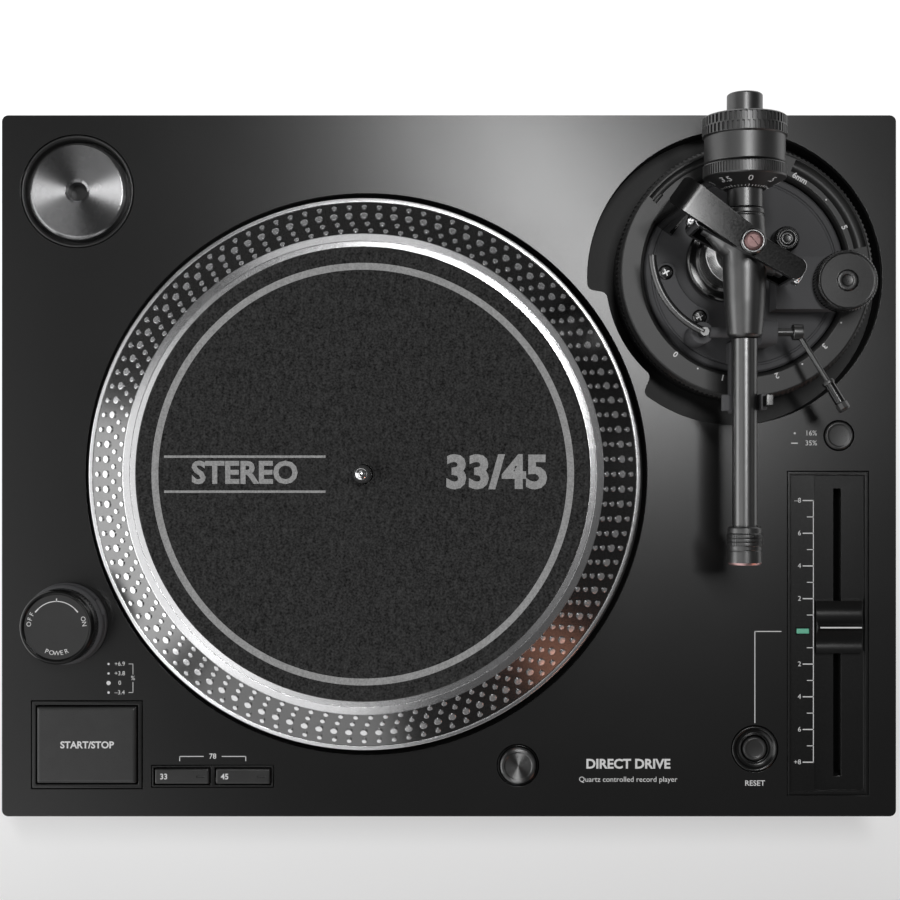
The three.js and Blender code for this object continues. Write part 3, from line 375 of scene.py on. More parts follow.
def mix_finishes():
    """Makes every finish once. Pieces find them by name."""
    shade = colours()
    platter, adapter, target = Spot("platter"), Spot("adapter_45"), Spot("target_light")
    satin_paint("deck_paint", shade.deck)
    moulded("black_plastic", shade.plastic)
    # Painted shade: the same black plastic at about a third of its brightness, for the platter's well, the
    # tonearm's pit and the fader's slot, standing in for the shade inside those recesses.
    moulded("deep_plastic", [0.35 * part for part in shade.plastic], 0.6)
    moulded("panel_plastic", [0.8 * part for part in shade.plastic], 0.26, 0.8 * MM, 0.003 * MM)
    moulded("ring_plastic", [1.9 * part for part in shade.plastic], 0.44, 0.4 * MM)
    moulded("button_plastic", [4 * part for part in shade.plastic], 0.3, 0.4 * MM, 0.006 * MM)
    moulded("knob_top", [2.4 * part for part in shade.plastic], 0.5, 0.4 * MM, 0.01 * MM)
    moulded("gloss_plastic", [0.6 * part for part in shade.plastic], 0.14, 0.8 * MM, 0.003 * MM, 0.28)
    moulded("red_insulator", (0.35, 0.01, 0.01), 0.35)
    moulded("white_insulator", (0.7, 0.7, 0.68), 0.35)
    rubber("foot_rubber")
    brushed("anodised_black", [0.8 * part for part in shade.anodised], 0.34)
    brushed("tube_black", [1.0 * part for part in shade.anodised], 0.29)
    brushed("weight_black", [0.8 * part for part in shade.anodised], 0.38)
    brushed("dark_gloss", [0.55 * part for part in shade.anodised], 0.2)
    brushed("platter_metal", shade.aluminium, 0.22, 0.3, platter.x, platter.y)
    brushed("dot_metal", [0.95 * part for part in shade.aluminium], 0.22, metal=0.8)
    brushed("spun_metal", [0.42 * part for part in shade.aluminium], 0.22, 0.93, adapter.x, adapter.y)
    brushed("spun_black", [0.9 * part for part in shade.anodised], 0.3, 0.93, target.x, target.y)
    brushed("bright_chrome", (0.82, 0.82, 0.83), 0.09)
    brushed("grey_chrome", (0.5, 0.5, 0.5), 0.2)
    brushed("rose_metal", shade.warm, 0.3)
    # Painted shade: the contacts' rose metal at four tenths of its brightness, for the pivot cap's top,
    # standing in for the shade that keeps the cap dark.
    brushed("rose_dark", [0.4 * part for part in shade.warm], 0.5)
    brushed("cast_steel", (0.5, 0.5, 0.51), 0.34)
    brushed("ferrite", (0.12, 0.12, 0.125), 0.55)
    brushed("strobe_black", (0.15, 0.15, 0.15), 0.2)
    felt("mat_felt", shade.felt, 0.85)
    felt("mat_print", (0.36, 0.36, 0.36), 0.22)
    ink("white_ink", shade.ink)
    lens("green_lens")
    circuit_board("circuit_board")
    windings("copper_windings")
    floor_paper("floor_paper")


# ------------------------------------------------------------------ work at the bench
def use(*objs):
    """Only these objects are selected, and the first is active."""
    bpy.ops.object.select_all(action="DESELECT")
    for obj in objs:
        obj.select_set(True)
    bpy.context.view_layer.objects.active = objs[0]
    return objs[0]


def edit(obj, kind="FACE", test=None):
    """Enters edit mode with only those vertices, edges or faces selected whose middle passes the test.
    A face's test is given its normal too."""
    use(obj)
    bpy.context.tool_settings.mesh_select_mode = [kind == name for name in ("VERT", "EDGE", "FACE")]
    mesh = obj.data
    for parts in (mesh.vertices, mesh.edges, mesh.polygons):
        parts.foreach_set("select", [False] * len(parts))
    if test and kind == "FACE":
        for face in mesh.polygons:
            face.select = test(face.center, face.normal)
    elif test and kind == "VERT":
        for vertex in mesh.vertices:
            vertex.select = test(vertex.co)
    elif test:
        for edge in mesh.edges:
            edge.select = test(*(mesh.vertices[index].co for index in edge.vertices))
    bpy.ops.object.mode_set(mode="EDIT")


def leave():
    bpy.ops.object.mode_set(mode="OBJECT")
    return bpy.context.object


def settle(obj, x=0.0, y=0.0, z=0.0, facing="UP", turn=0.0):
    """Puts an object in its place and makes that place part of its mesh. What was up may face the
    front or the back instead, and turn is about the upright axis."""
    tilt = {"UP": 0, "FRONT": math.pi / 2, "BACK": -math.pi / 2}[facing]
    obj.matrix_world = (
        Matrix.Translation((x, y, z)) @ Matrix.Rotation(turn, 4, "Z") @ Matrix.Rotation(tilt, 4, "X"))
    use(obj)
    bpy.ops.object.transform_apply(location=True, rotation=True, scale=True)
    return obj


def modified(obj, kind, **settings):
    """Adds a modifier and applies it."""
    use(obj)
    modifier = obj.modifiers.new(kind.lower(), kind)
    for name, value in settings.items():
        setattr(modifier, name, value)
    bpy.ops.object.modifier_apply(modifier=modifier.name)
    return obj


def eased(obj, width, segments=2, above=40):
    """Rounds every edge that is sharper than an angle."""
    return modified(
        obj, "BEVEL", width=width, segments=segments, limit_method="ANGLE",
        angle_limit=math.radians(above), use_clamp_overlap=True)


def combined(obj, tools, operation):
    for tool in tools:
        modified(obj, "BOOLEAN", operation=operation, object=tool, solver="EXACT")
        bpy.data.objects.remove(tool)
    return obj


def cut(obj, *tools):
    return combined(obj, tools, "DIFFERENCE")


def fused(obj, *others):
    return combined(obj, others, "UNION")


def grouped(*objs):
    """Several objects as the loose parts of one."""
    use(*objs)
    if len(objs) > 1:
        bpy.ops.object.join()
    return bpy.context.object


def ringed(obj, count, centre=(0, 0, 0), axis="Z", sweep=FULL):
    """Copies of a small part set evenly round an axis, all in one mesh."""
    middle = Vector(centre)
    bpy.ops.object.empty_add()
    guide = bpy.context.object
    step = Matrix.Rotation(sweep / count, 4, axis)
    guide.matrix_world = Matrix.Translation(middle) @ step @ Matrix.Translation(-middle)
    bpy.context.view_layer.update()
    modified(
        obj, "ARRAY", count=count, use_relative_offset=False, use_object_offset=True, offset_object=guide)
    bpy.data.objects.remove(guide)
    return obj


def block(width, depth, low, high, x=0.0, y=0.0, edge=0.0):
    """A block between two heights, with its edges eased."""
    bpy.ops.object.select_all(action="DESELECT")
    bpy.ops.mesh.primitive_cube_add(
        size=1, location=(x, y, (low + high) / 2), scale=(width, depth, high - low))
    made = bpy.context.object
    use(made)
    bpy.ops.object.transform_apply(location=True, rotation=True, scale=True)
    return eased(made, edge, 3) if edge else made


def disc(radius, low, high, x=0.0, y=0.0, sides=96):
    bpy.ops.object.select_all(action="DESELECT")
    bpy.ops.mesh.primitive_cylinder_add(
        vertices=sides, radius=radius, depth=high - low, location=(x, y, (low + high) / 2))
    return settle(bpy.context.object, x, y, (low + high) / 2)


def rod(start, end, radius, sides=32):
    """A round bar between two points."""
    start, end = Vector(start), Vector(end)
    run = end - start
    bpy.ops.object.select_all(action="DESELECT")
    bpy.ops.mesh.primitive_cylinder_add(vertices=sides, radius=radius, depth=run.length)
    bar = bpy.context.object
    tilt = Vector((0, 0, 1)).rotation_difference(run.normalized()).to_matrix().to_4x4()
    bar.matrix_world = Matrix.Translation((start + end) / 2) @ tilt
    use(bar)
    bpy.ops.object.transform_apply(location=True, rotation=True, scale=True)
    return bar


def around(at, radius, angle):
    """A point on a circle round a place, by its angle in degrees."""
    turn = math.radians(angle)
    return at.x + radius * math.cos(turn), at.y + radius * math.sin(turn)


def softened(points, fillet, steps=3):
    """An outline with its corners rounded. Its two ends stay."""
    result = [Vector(points[0])]
    for before, corner, after in zip(points, points[1:], points[2:]):
        here = Vector(corner)
        back = Vector(before) - here
        on = Vector(after) - here
        reach = min(fillet, 0.45 * back.length, 0.45 * on.length)
        start = here + back.normalized() * reach
        end = here + on.normalized() * reach
        for step in range(steps + 1):
            share = step / steps
            result.append(
                start * (1 - share) ** 2 + here * (2 * share * (1 - share)) + end * share ** 2)
    result.append(Vector(points[-1]))
    return result


def turned(outline, fillet=0.25 * MM, sides=96, sweep=FULL):
    """A lathe's work: an outline in radius and height, drawn by extruding a vertex along it,
    then spun about the upright axis. A sweep short of a full turn has its ends closed."""
    points = softened(outline, fillet)
    radius, height = points[0]
    bpy.context.tool_settings.mesh_select_mode = (True, False, False)
    bpy.ops.object.select_all(action="DESELECT")
    bpy.ops.mesh.primitive_plane_add(size=MM, location=(radius, 0, height), enter_editmode=True)
    bpy.ops.mesh.merge(type="CENTER")
    for here, on in zip(points, points[1:]):
        step = on - here
        bpy.ops.mesh.extrude_vertices_move(TRANSFORM_OT_translate={"value": (step.x, 0, step.y)})
    bpy.ops.mesh.select_all(action="SELECT")
    bpy.ops.mesh.spin(steps=sides, angle=-sweep, center=(0, 0, 0), axis=(0, 0, 1))
    bpy.ops.mesh.select_all(action="SELECT")
    bpy.ops.mesh.remove_doubles(threshold=0.002 * MM)
    if abs(sweep) < FULL:
        bpy.ops.mesh.fill_holes(sides=0)
        bpy.ops.mesh.select_all(action="SELECT")
    bpy.ops.mesh.normals_make_consistent(inside=False)
    made = leave()
    use(made)
    bpy.ops.object.transform_apply(location=True, rotation=True, scale=True)
    return made


def notched(obj, sides, depth, low, high, beyond, first=0):
    """Cuts a groove into every second column of a turned wall, between two heights and beyond a radius."""
    def chosen(middle, normal):
        if not low < middle.z < high or math.hypot(middle.x, middle.y) < beyond or abs(normal.z) > 0.7:
            return False
        return int((math.atan2(middle.y, middle.x) % FULL) / (FULL / sides)) % 2 == first

    edit(obj, "FACE", chosen)
    bpy.ops.mesh.extrude_region_shrink_fatten(TRANSFORM_OT_shrink_fatten={"value": -depth})
    return leave()


def lettering(text, size, x=0.0, y=0.0, z=0.0, turn=0.0, weight=0.0, align="CENTER"):
    """Printed words, with the bottom of the ink just inside the surface at z."""
    bpy.ops.object.select_all(action="DESELECT")
    bpy.ops.object.text_add()
    words = bpy.context.object
    words.data.body = text
    words.data.size = size
    words.data.offset = weight * size
    words.data.extrude = (INK + SINK) / 2
    words.data.resolution_u = 3
    words.data.align_x = align
    words.data.align_y = "CENTER"
    bpy.ops.object.convert(target="MESH")
    edit(words, "VERT", lambda place: True)
    bpy.ops.mesh.remove_doubles(threshold=0.001 * MM)
    leave()
    return settle(words, x, y, z + (INK - SINK) / 2, turn=turn)


def printed_line(x1, y1, x2, y2, width, z):
    """A printed stroke between two points."""
    run = math.hypot(x2 - x1, y2 - y1) + width
    stroke = block(run, width, -SINK, INK)
    return settle(stroke, (x1 + x2) / 2, (y1 + y2) / 2, z, turn=math.atan2(y2 - y1, x2 - x1))


def printed_dot(radius, x, y, z):
    return disc(radius, z - SINK, z + INK, x, y, 20)


def curved_lettering(text, size, radius, middle, x, y, z, inward=False, weight=0.0, spread=0.78):
    """Words round a circle, read from inside it or from outside."""
    step = spread * size / radius * (-1 if not inward else 1)
    letters = []
    for place, letter in enumerate(text):
        angle = middle + step * (place - (len(text) - 1) / 2)
        lean = angle + (math.pi / 2 if inward else -math.pi / 2)
        letters.append(lettering(
            letter, size, x + radius * math.cos(angle), y + radius * math.sin(angle), z, lean, weight))
    return grouped(*letters)


def coat(obj, finish, where=None):
    """Gives an object a finish, or gives it to those of its faces that pass a test."""
    obj.data.materials.append(bpy.data.materials[finish])
    if where:
        last = len(obj.data.materials) - 1
        for face in obj.data.polygons:
            if where(face.center, face.normal):
                face.material_index = last
    return obj


def done(obj, name, body, finish=None, replaces=(), smooth=35):
    """Names a finished piece, smooths it, and hangs it on its body."""
    obj.name = name
    obj.data.name = name
    if finish and not obj.data.materials:
        coat(obj, finish)
    use(obj)
    bpy.ops.object.shade_smooth_by_angle(angle=math.radians(smooth))
    modified(obj, "WEIGHTED_NORMAL", keep_sharp=True)
    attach(obj, body)
    if replaces:
        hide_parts(*replaces)
    return obj


def worked_copy(node, edge, segments=2):
    """A copy of a plain CAD node, merged, cleared of flat seams and with its edges eased."""
    bpy.ops.object.select_all(action="DESELECT")
    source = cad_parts[node]
    made = source.copy()
    made.data = source.data.copy()
    made.parent = None
    for key in list(made.keys()):
        del made[key]
    bpy.context.scene.collection.objects.link(made)
    made.data.materials.clear()
    edit(made, "VERT", lambda place: True)
    bpy.ops.mesh.remove_doubles(threshold=0.002 * MM)
    bpy.ops.mesh.dissolve_limited(angle_limit=math.radians(1))
    leave()
    return eased(made, edge, segments, 30)


# ------------------------------------------------------------------ plinth
def pit_outline(low, high):
    """The pit's outline as a solid: a wide circle drawn in on the platter's side, its steps rounded."""
    size = sizes()
    pit = Spot("arm_pit")
    wall = size.well_wall
    x = pit.right - wall - size.pit_radius
    y = pit.back - wall - size.pit_radius
    bpy.ops.object.select_all(action="DESELECT")
    bpy.ops.mesh.primitive_circle_add(
        vertices=160, radius=size.pit_radius, fill_type="NGON", location=(x, y, low))
    made = settle(bpy.context.object, x, y, low)
    first, last = math.radians(185.5), math.radians(231)

    def in_neck(place):
        return first <= math.atan2(place.y - y, place.x - x) % FULL <= last

    edit(made, "VERT", in_neck)
    share = size.pit_neck / size.pit_radius
    bpy.ops.transform.resize(value=(share, share, 1), center_override=(x, y, low))
    leave()
    near = 0.85 * FULL / 160

    def at_step(place):
        angle = math.atan2(place.y - y, place.x - x) % FULL
        return min(abs(angle - first), abs(angle - last)) < near

    edit(made, "VERT", at_step)
    bpy.ops.mesh.bevel(offset=size.pit_round, segments=5, affect="VERTICES", clamp_overlap=True)
    bpy.ops.mesh.select_all(action="SELECT")
    bpy.ops.mesh.remove_doubles(threshold=0.02 * MM)
    bpy.ops.mesh.extrude_region_move(TRANSFORM_OT_translate={"value": (0, 0, high - low)})
    bpy.ops.mesh.select_all(action="SELECT")
    bpy.ops.mesh.normals_make_consistent(inside=False)
    return leave()


class TURNTABLE_OT_plinth(bpy.types.Operator):
    """Models the deck plate, the casing under it and the bottom pan"""

    bl_idname = "turntable.plinth"
    bl_label = "Plinth"

    def execute(self, context):
        size = sizes()
        plate = Spot("face_plate")
        deck = self.slab(plate, plate.low, plate.high)
        well = Spot("platter_well")
        high = plate.high + MM
        low = plate.low - MM
        holes = [(well, well.radius - size.well_wall, 192)]
        for node in ("adapter_cup", "target_light_sleeve", "reset_ring"):
            holes.append((Spot(node), Spot(node).radius + CLEAR, 96))
        holes.append((Spot("pitch_range_button"), Spot("pitch_range_button").radius + 0.5 * MM, 64))
        holes.append((Spot("power_knob"), 10.3 * MM, 64))
        tools = [disc(radius, low, high, at.x, at.y, sides) for at, radius, sides in holes]
        for node in ("start_stop_frame", "speed_frame", "pitch_panel"):
            at = Spot(node)
            tools.append(block(at.width + 2 * CLEAR, at.depth + 2 * CLEAR, low, high, at.x, at.y))
        tools.append(pit_outline(low, high))
        cut(deck, *tools)
        eased(deck, size.plate_edge, 2, 50)
        done(deck, "deck_plate", "plinth", "deck_paint", ["face_plate"])

        casing = Spot("chassis")
        shell = self.slab(casing, casing.low, casing.high)
        inside = 2 * size.shell
        bay = Spot("rear_bay")
        cut(
            shell,
            block(casing.width - inside, casing.depth - inside, casing.low - MM, casing.high + MM),
            block(bay.width + 2 * CLEAR, 10 * MM, bay.low - CLEAR, bay.high + CLEAR, bay.x, casing.back),
        )
        eased(shell, 0.3 * MM, 2, 50)
        done(shell, "casing", "plinth", "black_plastic", ["chassis"])

        under = Spot("bottom_pan")
        pan = self.slab(under, under.low, under.high)
        eased(pan, 0.6 * MM, 2, 50)
        edit(pan, "FACE", lambda middle, normal: normal.z < -0.9 and middle.z < under.low + 0.1 * MM)
        bpy.ops.mesh.inset(thickness=9 * MM, depth=0)
        bpy.ops.mesh.inset(thickness=1.2 * MM, depth=-0.8 * MM)
        leave()
        done(pan, "underside_pan", "plinth", "black_plastic", ["bottom_pan"])
        return {"FINISHED"}

    def slab(self, at, low, high):
        """A plate of the plinth's outline."""
        made = block(at.width, at.depth, low, high, at.x, at.y)
        edit(made, "EDGE", lambda one, other: abs(one.z - other.z) > 0.5 * (high - low))
        bpy.ops.mesh.bevel(offset=sizes().corner, segments=8, affect="EDGES")
        return leave()


class TURNTABLE_OT_feet(bpy.types.Operator):
    """Models the four ribbed rubber feet"""

    bl_idname = "turntable.feet"
    bl_label = "Feet"

    def execute(self, context):
        for end in ("front", "rear"):
            for side in ("left", "right"):
                node = f"foot_{end}_{side}"
                at = Spot(node)
                tall = at.height
                outline = [
                    (0, 0.8 * MM), (at.radius - 9 * MM, 0.8 * MM), (at.radius - 10 * MM, 0),
                    (at.radius - 3.6 * MM, 0), (at.radius - 2.4 * MM, 1.2 * MM),
                ]
                for rib in range(3):
                    low = (1.8 + 1.9 * rib) * MM
                    outline += [
                        (at.radius - 2.4 * MM, low), (at.radius - 1.7 * MM, low + 0.4 * MM),
                        (at.radius - 1.7 * MM, low + 1.0 * MM), (at.radius - 2.4 * MM, low + 1.4 * MM),
                    ]
                outline += [(at.radius, tall - 4 * MM), (at.radius, tall), (0, tall)]
                foot = settle(turned(outline, 0.3 * MM, 64), at.x, at.y, at.low)
                done(foot, f"rubber_{node}", "plinth", "foot_rubber", [node])
        return {"FINISHED"}


class TURNTABLE_OT_dishes(bpy.types.Operator):
    """Models the well round the platter and the pit round the tonearm's base"""

    bl_idname = "turntable.dishes"
    bl_label = "Well and pit"

    def execute(self, context):
        size = sizes()
        at = Spot("platter_well")
        bore = Spot("bearing_housing").radius - 14.7 * MM
        wall = size.well_wall
        floor = at.low + 2.5 * MM
        outline = [
            (bore, at.low), (at.radius, at.low), (at.radius, at.high), (at.radius - wall, at.high),
            (at.radius - wall, floor), (bore, floor), (bore, at.low),
        ]
        well = settle(turned(outline, 0.5 * MM, 192), at.x, at.y)
        # The well takes the darkened plastic: painted shade inside the recess.
        done(well, "platter_dish", "plinth", "deep_plastic", ["platter_well"])

        pit = Spot("arm_pit")
        dish = pit_outline(pit.low + wall, pit.high)
        edit(dish, "FACE", lambda middle, normal: middle.z > pit.high - 0.1 * MM)
        bpy.ops.mesh.delete(type="FACE")
        leave()
        modified(dish, "SOLIDIFY", thickness=wall, offset=1)
        eased(dish, 0.35 * MM, 2, 50)
        cut(dish, disc(at.radius + CLEAR, pit.low - 2 * MM, pit.high + MM, at.x, at.y, 192))
        # The pit takes the darkened plastic: painted shade inside the recess.
        done(dish, "tonearm_dish", "plinth", "deep_plastic", ["arm_pit"])
        return {"FINISHED"}


# ------------------------------------------------------------------ platter and mat
class TURNTABLE_OT_platter(bpy.types.Operator):
    """Turns the platter and the spindle, and sets the strobe dots into the band"""

    bl_idname = "turntable.platter"
    bl_label = "Platter"

    def execute(self, context):
        size = sizes()
        at = Spot("platter")
        lip_top = DECK + 13.6 * MM
        band_top = at.high - MM
        outer = at.radius - size.lip
        inner = outer - size.band
        flat = inner - size.bevel
        roof = at.high - 4 * MM
        skirt = at.radius - 4 * MM
        bore = Spot("spindle").radius + CLEAR
        hub = DECK + 6 * MM
        outline = [
            (bore, hub), (14 * MM, hub), (14 * MM, roof), (inner - MM, roof), (skirt, lip_top - 4 * MM),
            (skirt, at.low), (at.radius, at.low), (at.radius, at.low + 6 * MM),
            (at.radius - 0.5 * MM, at.low + 6.6 * MM), (at.radius - 0.5 * MM, at.low + 7.4 * MM),
            (at.radius, at.low + 8 * MM), (at.radius, lip_top - 0.6 * MM),
            (at.radius - 0.4 * MM, lip_top - 0.15 * MM), (outer + 0.1 * MM, lip_top),
            (outer - 0.3 * MM, lip_top - 0.1 * MM), (inner + 0.3 * MM, band_top - 0.2 * MM),
            (inner, band_top), (flat + 0.15 * MM, at.high - 0.25 * MM), (flat, at.high - 0.4 * MM),
            (flat - 0.15 * MM, at.high - 0.3 * MM), (flat - 2.2 * MM, at.high), (bore, at.high), (bore, hub),
        ]
        platter = settle(turned(outline, 0.15 * MM, 240), at.x, at.y)
        coat(platter, "platter_metal")

        def on_band(middle, normal):
            away = math.hypot(middle.x - at.x, middle.y - at.y)
            return normal.z > 0.2 and inner + 0.2 * MM < away < outer - 0.1 * MM

        coat(platter, "strobe_black", on_band)
        done(platter, "platter_casting", "platter", replaces=["platter"])

        slope = (band_top - lip_top) / (outer - inner)
        rows = []
        for radius, dot, count in (
                (102.4, 0.95, 112), (98.7, 1.4, 108), (95.2, 0.95, 105), (92.3, 0.95, 102)):
            away = radius * MM
            height = lip_top + (outer - away) * slope
            rows.append(self.dots(at, away, height, dot * MM, count, slope))
        dots = grouped(*rows)
        done(dots, "strobe_dots", "platter", "dot_metal")

        pin = Spot("spindle")
        r = pin.radius
        tip = [
            (0, pin.low), (r, pin.low), (r, pin.high - 7 * MM), (r - 0.12 * MM, pin.high - 6.9 * MM),
            (r - 0.12 * MM, pin.high - 6.4 * MM), (r, pin.high - 6.3 * MM), (0.96 * r, pin.high - 4.4 * MM),
            (0.86 * r, pin.high - 2.8 * MM), (0.62 * r, pin.high - 1.1 * MM),
            (0.34 * r, pin.high - 0.25 * MM), (0, pin.high),
        ]
        spindle = settle(turned(tip, 0.4 * MM, 64), pin.x, pin.y)
        done(spindle, "centre_spindle", "platter", "bright_chrome", ["spindle"])
        return {"FINISHED"}

    def dots(self, at, away, height, radius, count, slope):
        """One row of raised dots, standing square to the slope of the band."""
        bpy.ops.object.select_all(action="DESELECT")
        bpy.ops.mesh.primitive_cylinder_add(vertices=14, radius=radius, depth=2 * sizes().dot_height)
        dot = bpy.context.object
        edit(dot, "FACE", lambda middle, normal: normal.z > 0.9)
        bpy.ops.mesh.inset(thickness=0.16 * radius, depth=0.1 * MM)
        leave()
        dot.matrix_world = (
            Matrix.Translation((at.x + away, at.y, height)) @ Matrix.Rotation(math.atan(slope), 4, "Y"))
        use(dot)
        bpy.ops.object.transform_apply(location=True, rotation=True, scale=True)
        return ringed(dot, count, (at.x, at.y, 0))


class TURNTABLE_OT_mat(bpy.types.Operator):
    """Lays the felt mat on the platter and prints it"""

    bl_idname = "turntable.mat"
    bl_label = "Felt mat"

    def execute(self, context):
        size = sizes()
        at = Spot("slipmat")
        hole = Spot("spindle").radius + CLEAR
        edge = 0.5 * MM
        outline = [
            (hole, at.low), (at.radius - 0.3 * MM, at.low), (at.radius, at.low + edge),
            (at.radius, at.high - edge), (at.radius - edge, at.high), (hole + edge, at.high),
            (hole, at.high - edge), (hole, at.low),
        ]
        mat = settle(turned(outline, 0.3 * MM, 160), at.x, at.y)
        done(mat, "felt_mat", "slipmat", "mat_felt", ["slipmat"])
        2 * at.radius
        2 * at.radius
        math.pi * (at.radius ** 2 - hole ** 2)

        inner = size.print_outer - size.print_width
        low, high = at.high - SINK, at.high + INK
        ring = [(inner, low), (size.print_outer, low), (size.print_outer, high), (inner, high), (inner, low)]
        prints = [settle(turned(ring, 0, 192), at.x, at.y)]
        top = at.high
        left = at.x - 44.5 * MM
        prints.append(lettering("STEREO", 11.5 * MM, left, at.y + 0.2 * MM, top, weight=0.035))
        for side in (-1, 1):
            y = at.y + 6.6 * side * MM
            prints.append(printed_line(left - 30 * MM, y, left + 30 * MM, y, 0.9 * MM, top))
        prints.append(lettering("33/45", 17 * MM, at.x + 50.5 * MM, at.y + 0.2 * MM, top, weight=0.04))
        done(grouped(*prints), "mat_print_ring", "slipmat", "mat_print")
        return {"FINISHED"}


class TURNTABLE_OT_adapter(bpy.types.Operator):
    """Turns the centre adapter and the cup that it rests in"""

    bl_idname = "turntable.adapter"
    bl_label = "Adapter and cup"

    def execute(self, context):
        at = Spot("adapter_45")
        hole = Spot("spindle").radius + 0.09 * MM
        r = at.radius
        top = at.high
        outline = [
            (hole, at.low), (r - 0.6 * MM, at.low), (r, at.low + 0.6 * MM), (r, top - 1.3 * MM),
            (r - 0.9 * MM, top - 0.35 * MM), (r - 1.3 * MM, top - 0.2 * MM),
            (hole + 1.1 * MM, top - 0.2 * MM), (hole + 0.9 * MM, top - 0.6 * MM),
            (hole, top - 1.2 * MM), (hole, at.low),
        ]
        insert = settle(turned(outline, 0.15 * MM, 128), at.x, at.y)
        done(insert, "centre_adapter", "adapter", "spun_metal", ["adapter_45"])

        cup = Spot("adapter_cup")
        inside = r + 1.55 * MM
        floor = cup.low + 2 * MM
        rim = [
            (0, cup.low), (cup.radius, cup.low), (cup.radius, cup.high - 0.35 * MM),
            (cup.radius - 0.35 * MM, cup.high), (inside + 0.75 * MM, cup.high),
            (inside, cup.high - 1.1 * MM), (inside, floor), (0, floor),
        ]
        well = settle(turned(rim, 0.2 * MM, 128), cup.x, cup.y)
        done(well, "adapter_rest", "plinth", "button_plastic", ["adapter_cup"])
        return {"FINISHED"}


# ------------------------------------------------------------------ controls on the deck
class TURNTABLE_OT_power(bpy.types.Operator):
    """Turns the power knob and the strobe housing under it"""

    bl_idname = "turntable.power"
    bl_label = "Power knob"

    def execute(self, context):
        at = Spot("power_knob")
        r = at.radius
        skirt = DECK + 8.8 * MM
        face = at.high - 0.35 * MM
        outline = [
            (0, at.low), (3 * MM, at.low), (3 * MM, skirt), (r - 0.8 * MM, skirt), (r, skirt + 0.8 * MM),
            (r, at.high - 1.0 * MM), (r - 0.7 * MM, at.high), (r - 1.5 * MM, at.high),
            (r - 1.7 * MM, face), (r - 2.1 * MM, face), (0, face),
        ]
        knob = turned(outline, 0.2 * MM, 144)
        notched(knob, 144, 0.25 * MM, skirt + 1.2 * MM, at.high - 1.4 * MM, r - 0.4 * MM)
        settle(knob, at.x, at.y)
        coat(knob, "gloss_plastic")
        coat(knob, "knob_top", lambda middle, normal: normal.z > 0.9 and middle.z < face + 0.05 * MM
             and math.hypot(middle.x - at.x, middle.y - at.y) < r - 2 * MM and middle.z > skirt)
        done(knob, "power_switch_knob", "power_knob", replaces=["power_knob"])
        self.print_knob(at, face)
        self.housing()
        return {"FINISHED"}

    def print_knob(self, at, face):
        """The double-ended arrow and its words, on the knob's face."""
        r = 9.9 * MM
        ring = [(r - 0.17 * MM, -SINK), (r + 0.17 * MM, -SINK), (r + 0.17 * MM, INK), (r - 0.17 * MM, INK),
                (r - 0.17 * MM, -SINK)]
        arc = settle(turned(ring, 0, 40, math.radians(90)), at.x, at.y, face, turn=math.radians(45))
        marks = [arc, printed_line(at.x, at.y + r, at.x, at.y + r + 0.9 * MM, 0.4 * MM, face)]
        barb = 1.5 * MM
        for angle, lean in ((135, 228), (45, -48)):
            x, y = around(at, r, angle)
            end = math.radians(lean)
            marks.append(printed_line(
                x, y, x + barb * math.cos(end), y + barb * math.sin(end), 0.5 * MM, face))
        for words, radius, middle, inward in (
                ("OFF", 10.6, 163, False), ("ON", 10.6, 12, False), ("POWER", 10.0, 270, True)):
            marks.append(curved_lettering(
                words, 2.5 * MM, radius * MM, math.radians(middle), at.x, at.y, face, inward))
        done(grouped(*marks), "power_knob_legend", "power_knob", "white_ink")

    def housing(self):
        at = Spot("strobe_housing")
        neck = 10 * MM
        bore = 3.15 * MM
        outline = [
            (bore, at.low), (neck, at.low), (neck, DECK + CLEAR), (at.radius - 0.5 * MM, DECK + CLEAR),
            (at.radius, DECK + 0.8 * MM), (at.radius, DECK + 3.2 * MM),
            (at.radius - 0.35 * MM, DECK + 3.5 * MM), (at.radius - 0.35 * MM, DECK + 3.9 * MM),
            (at.radius - 0.2 * MM, DECK + 4.2 * MM),
            (at.radius - 0.5 * MM, at.high - 0.9 * MM), (at.radius - 1.3 * MM, at.high), (bore, at.high),
            (bore, at.low),
        ]
        housing = settle(turned(outline, 0.2 * MM, 96), at.x, at.y)
        platter = Spot("platter")
        aim = math.atan2(platter.y - at.y, platter.x - at.x)
        opening = block(6 * MM, 7 * MM, DECK + 2.6 * MM, DECK + 6.4 * MM, 0, 0, 0.6 * MM)
        reach = at.radius
        settle(opening, at.x + reach * math.cos(aim), at.y + reach * math.sin(aim), 0, turn=aim)
        cut(housing, opening)
        done(housing, "strobe_lamp_housing", "plinth", "black_plastic", ["strobe_housing"])
        window = block(1.2 * MM, 6.4 * MM, DECK + 2.9 * MM, DECK + 6.1 * MM, 0, 0, 0.3 * MM)
        reach = at.radius - 2.3 * MM
        settle(window, at.x + reach * math.cos(aim), at.y + reach * math.sin(aim), 0, turn=aim)
        done(window, "strobe_window", "plinth", "red_insulator")


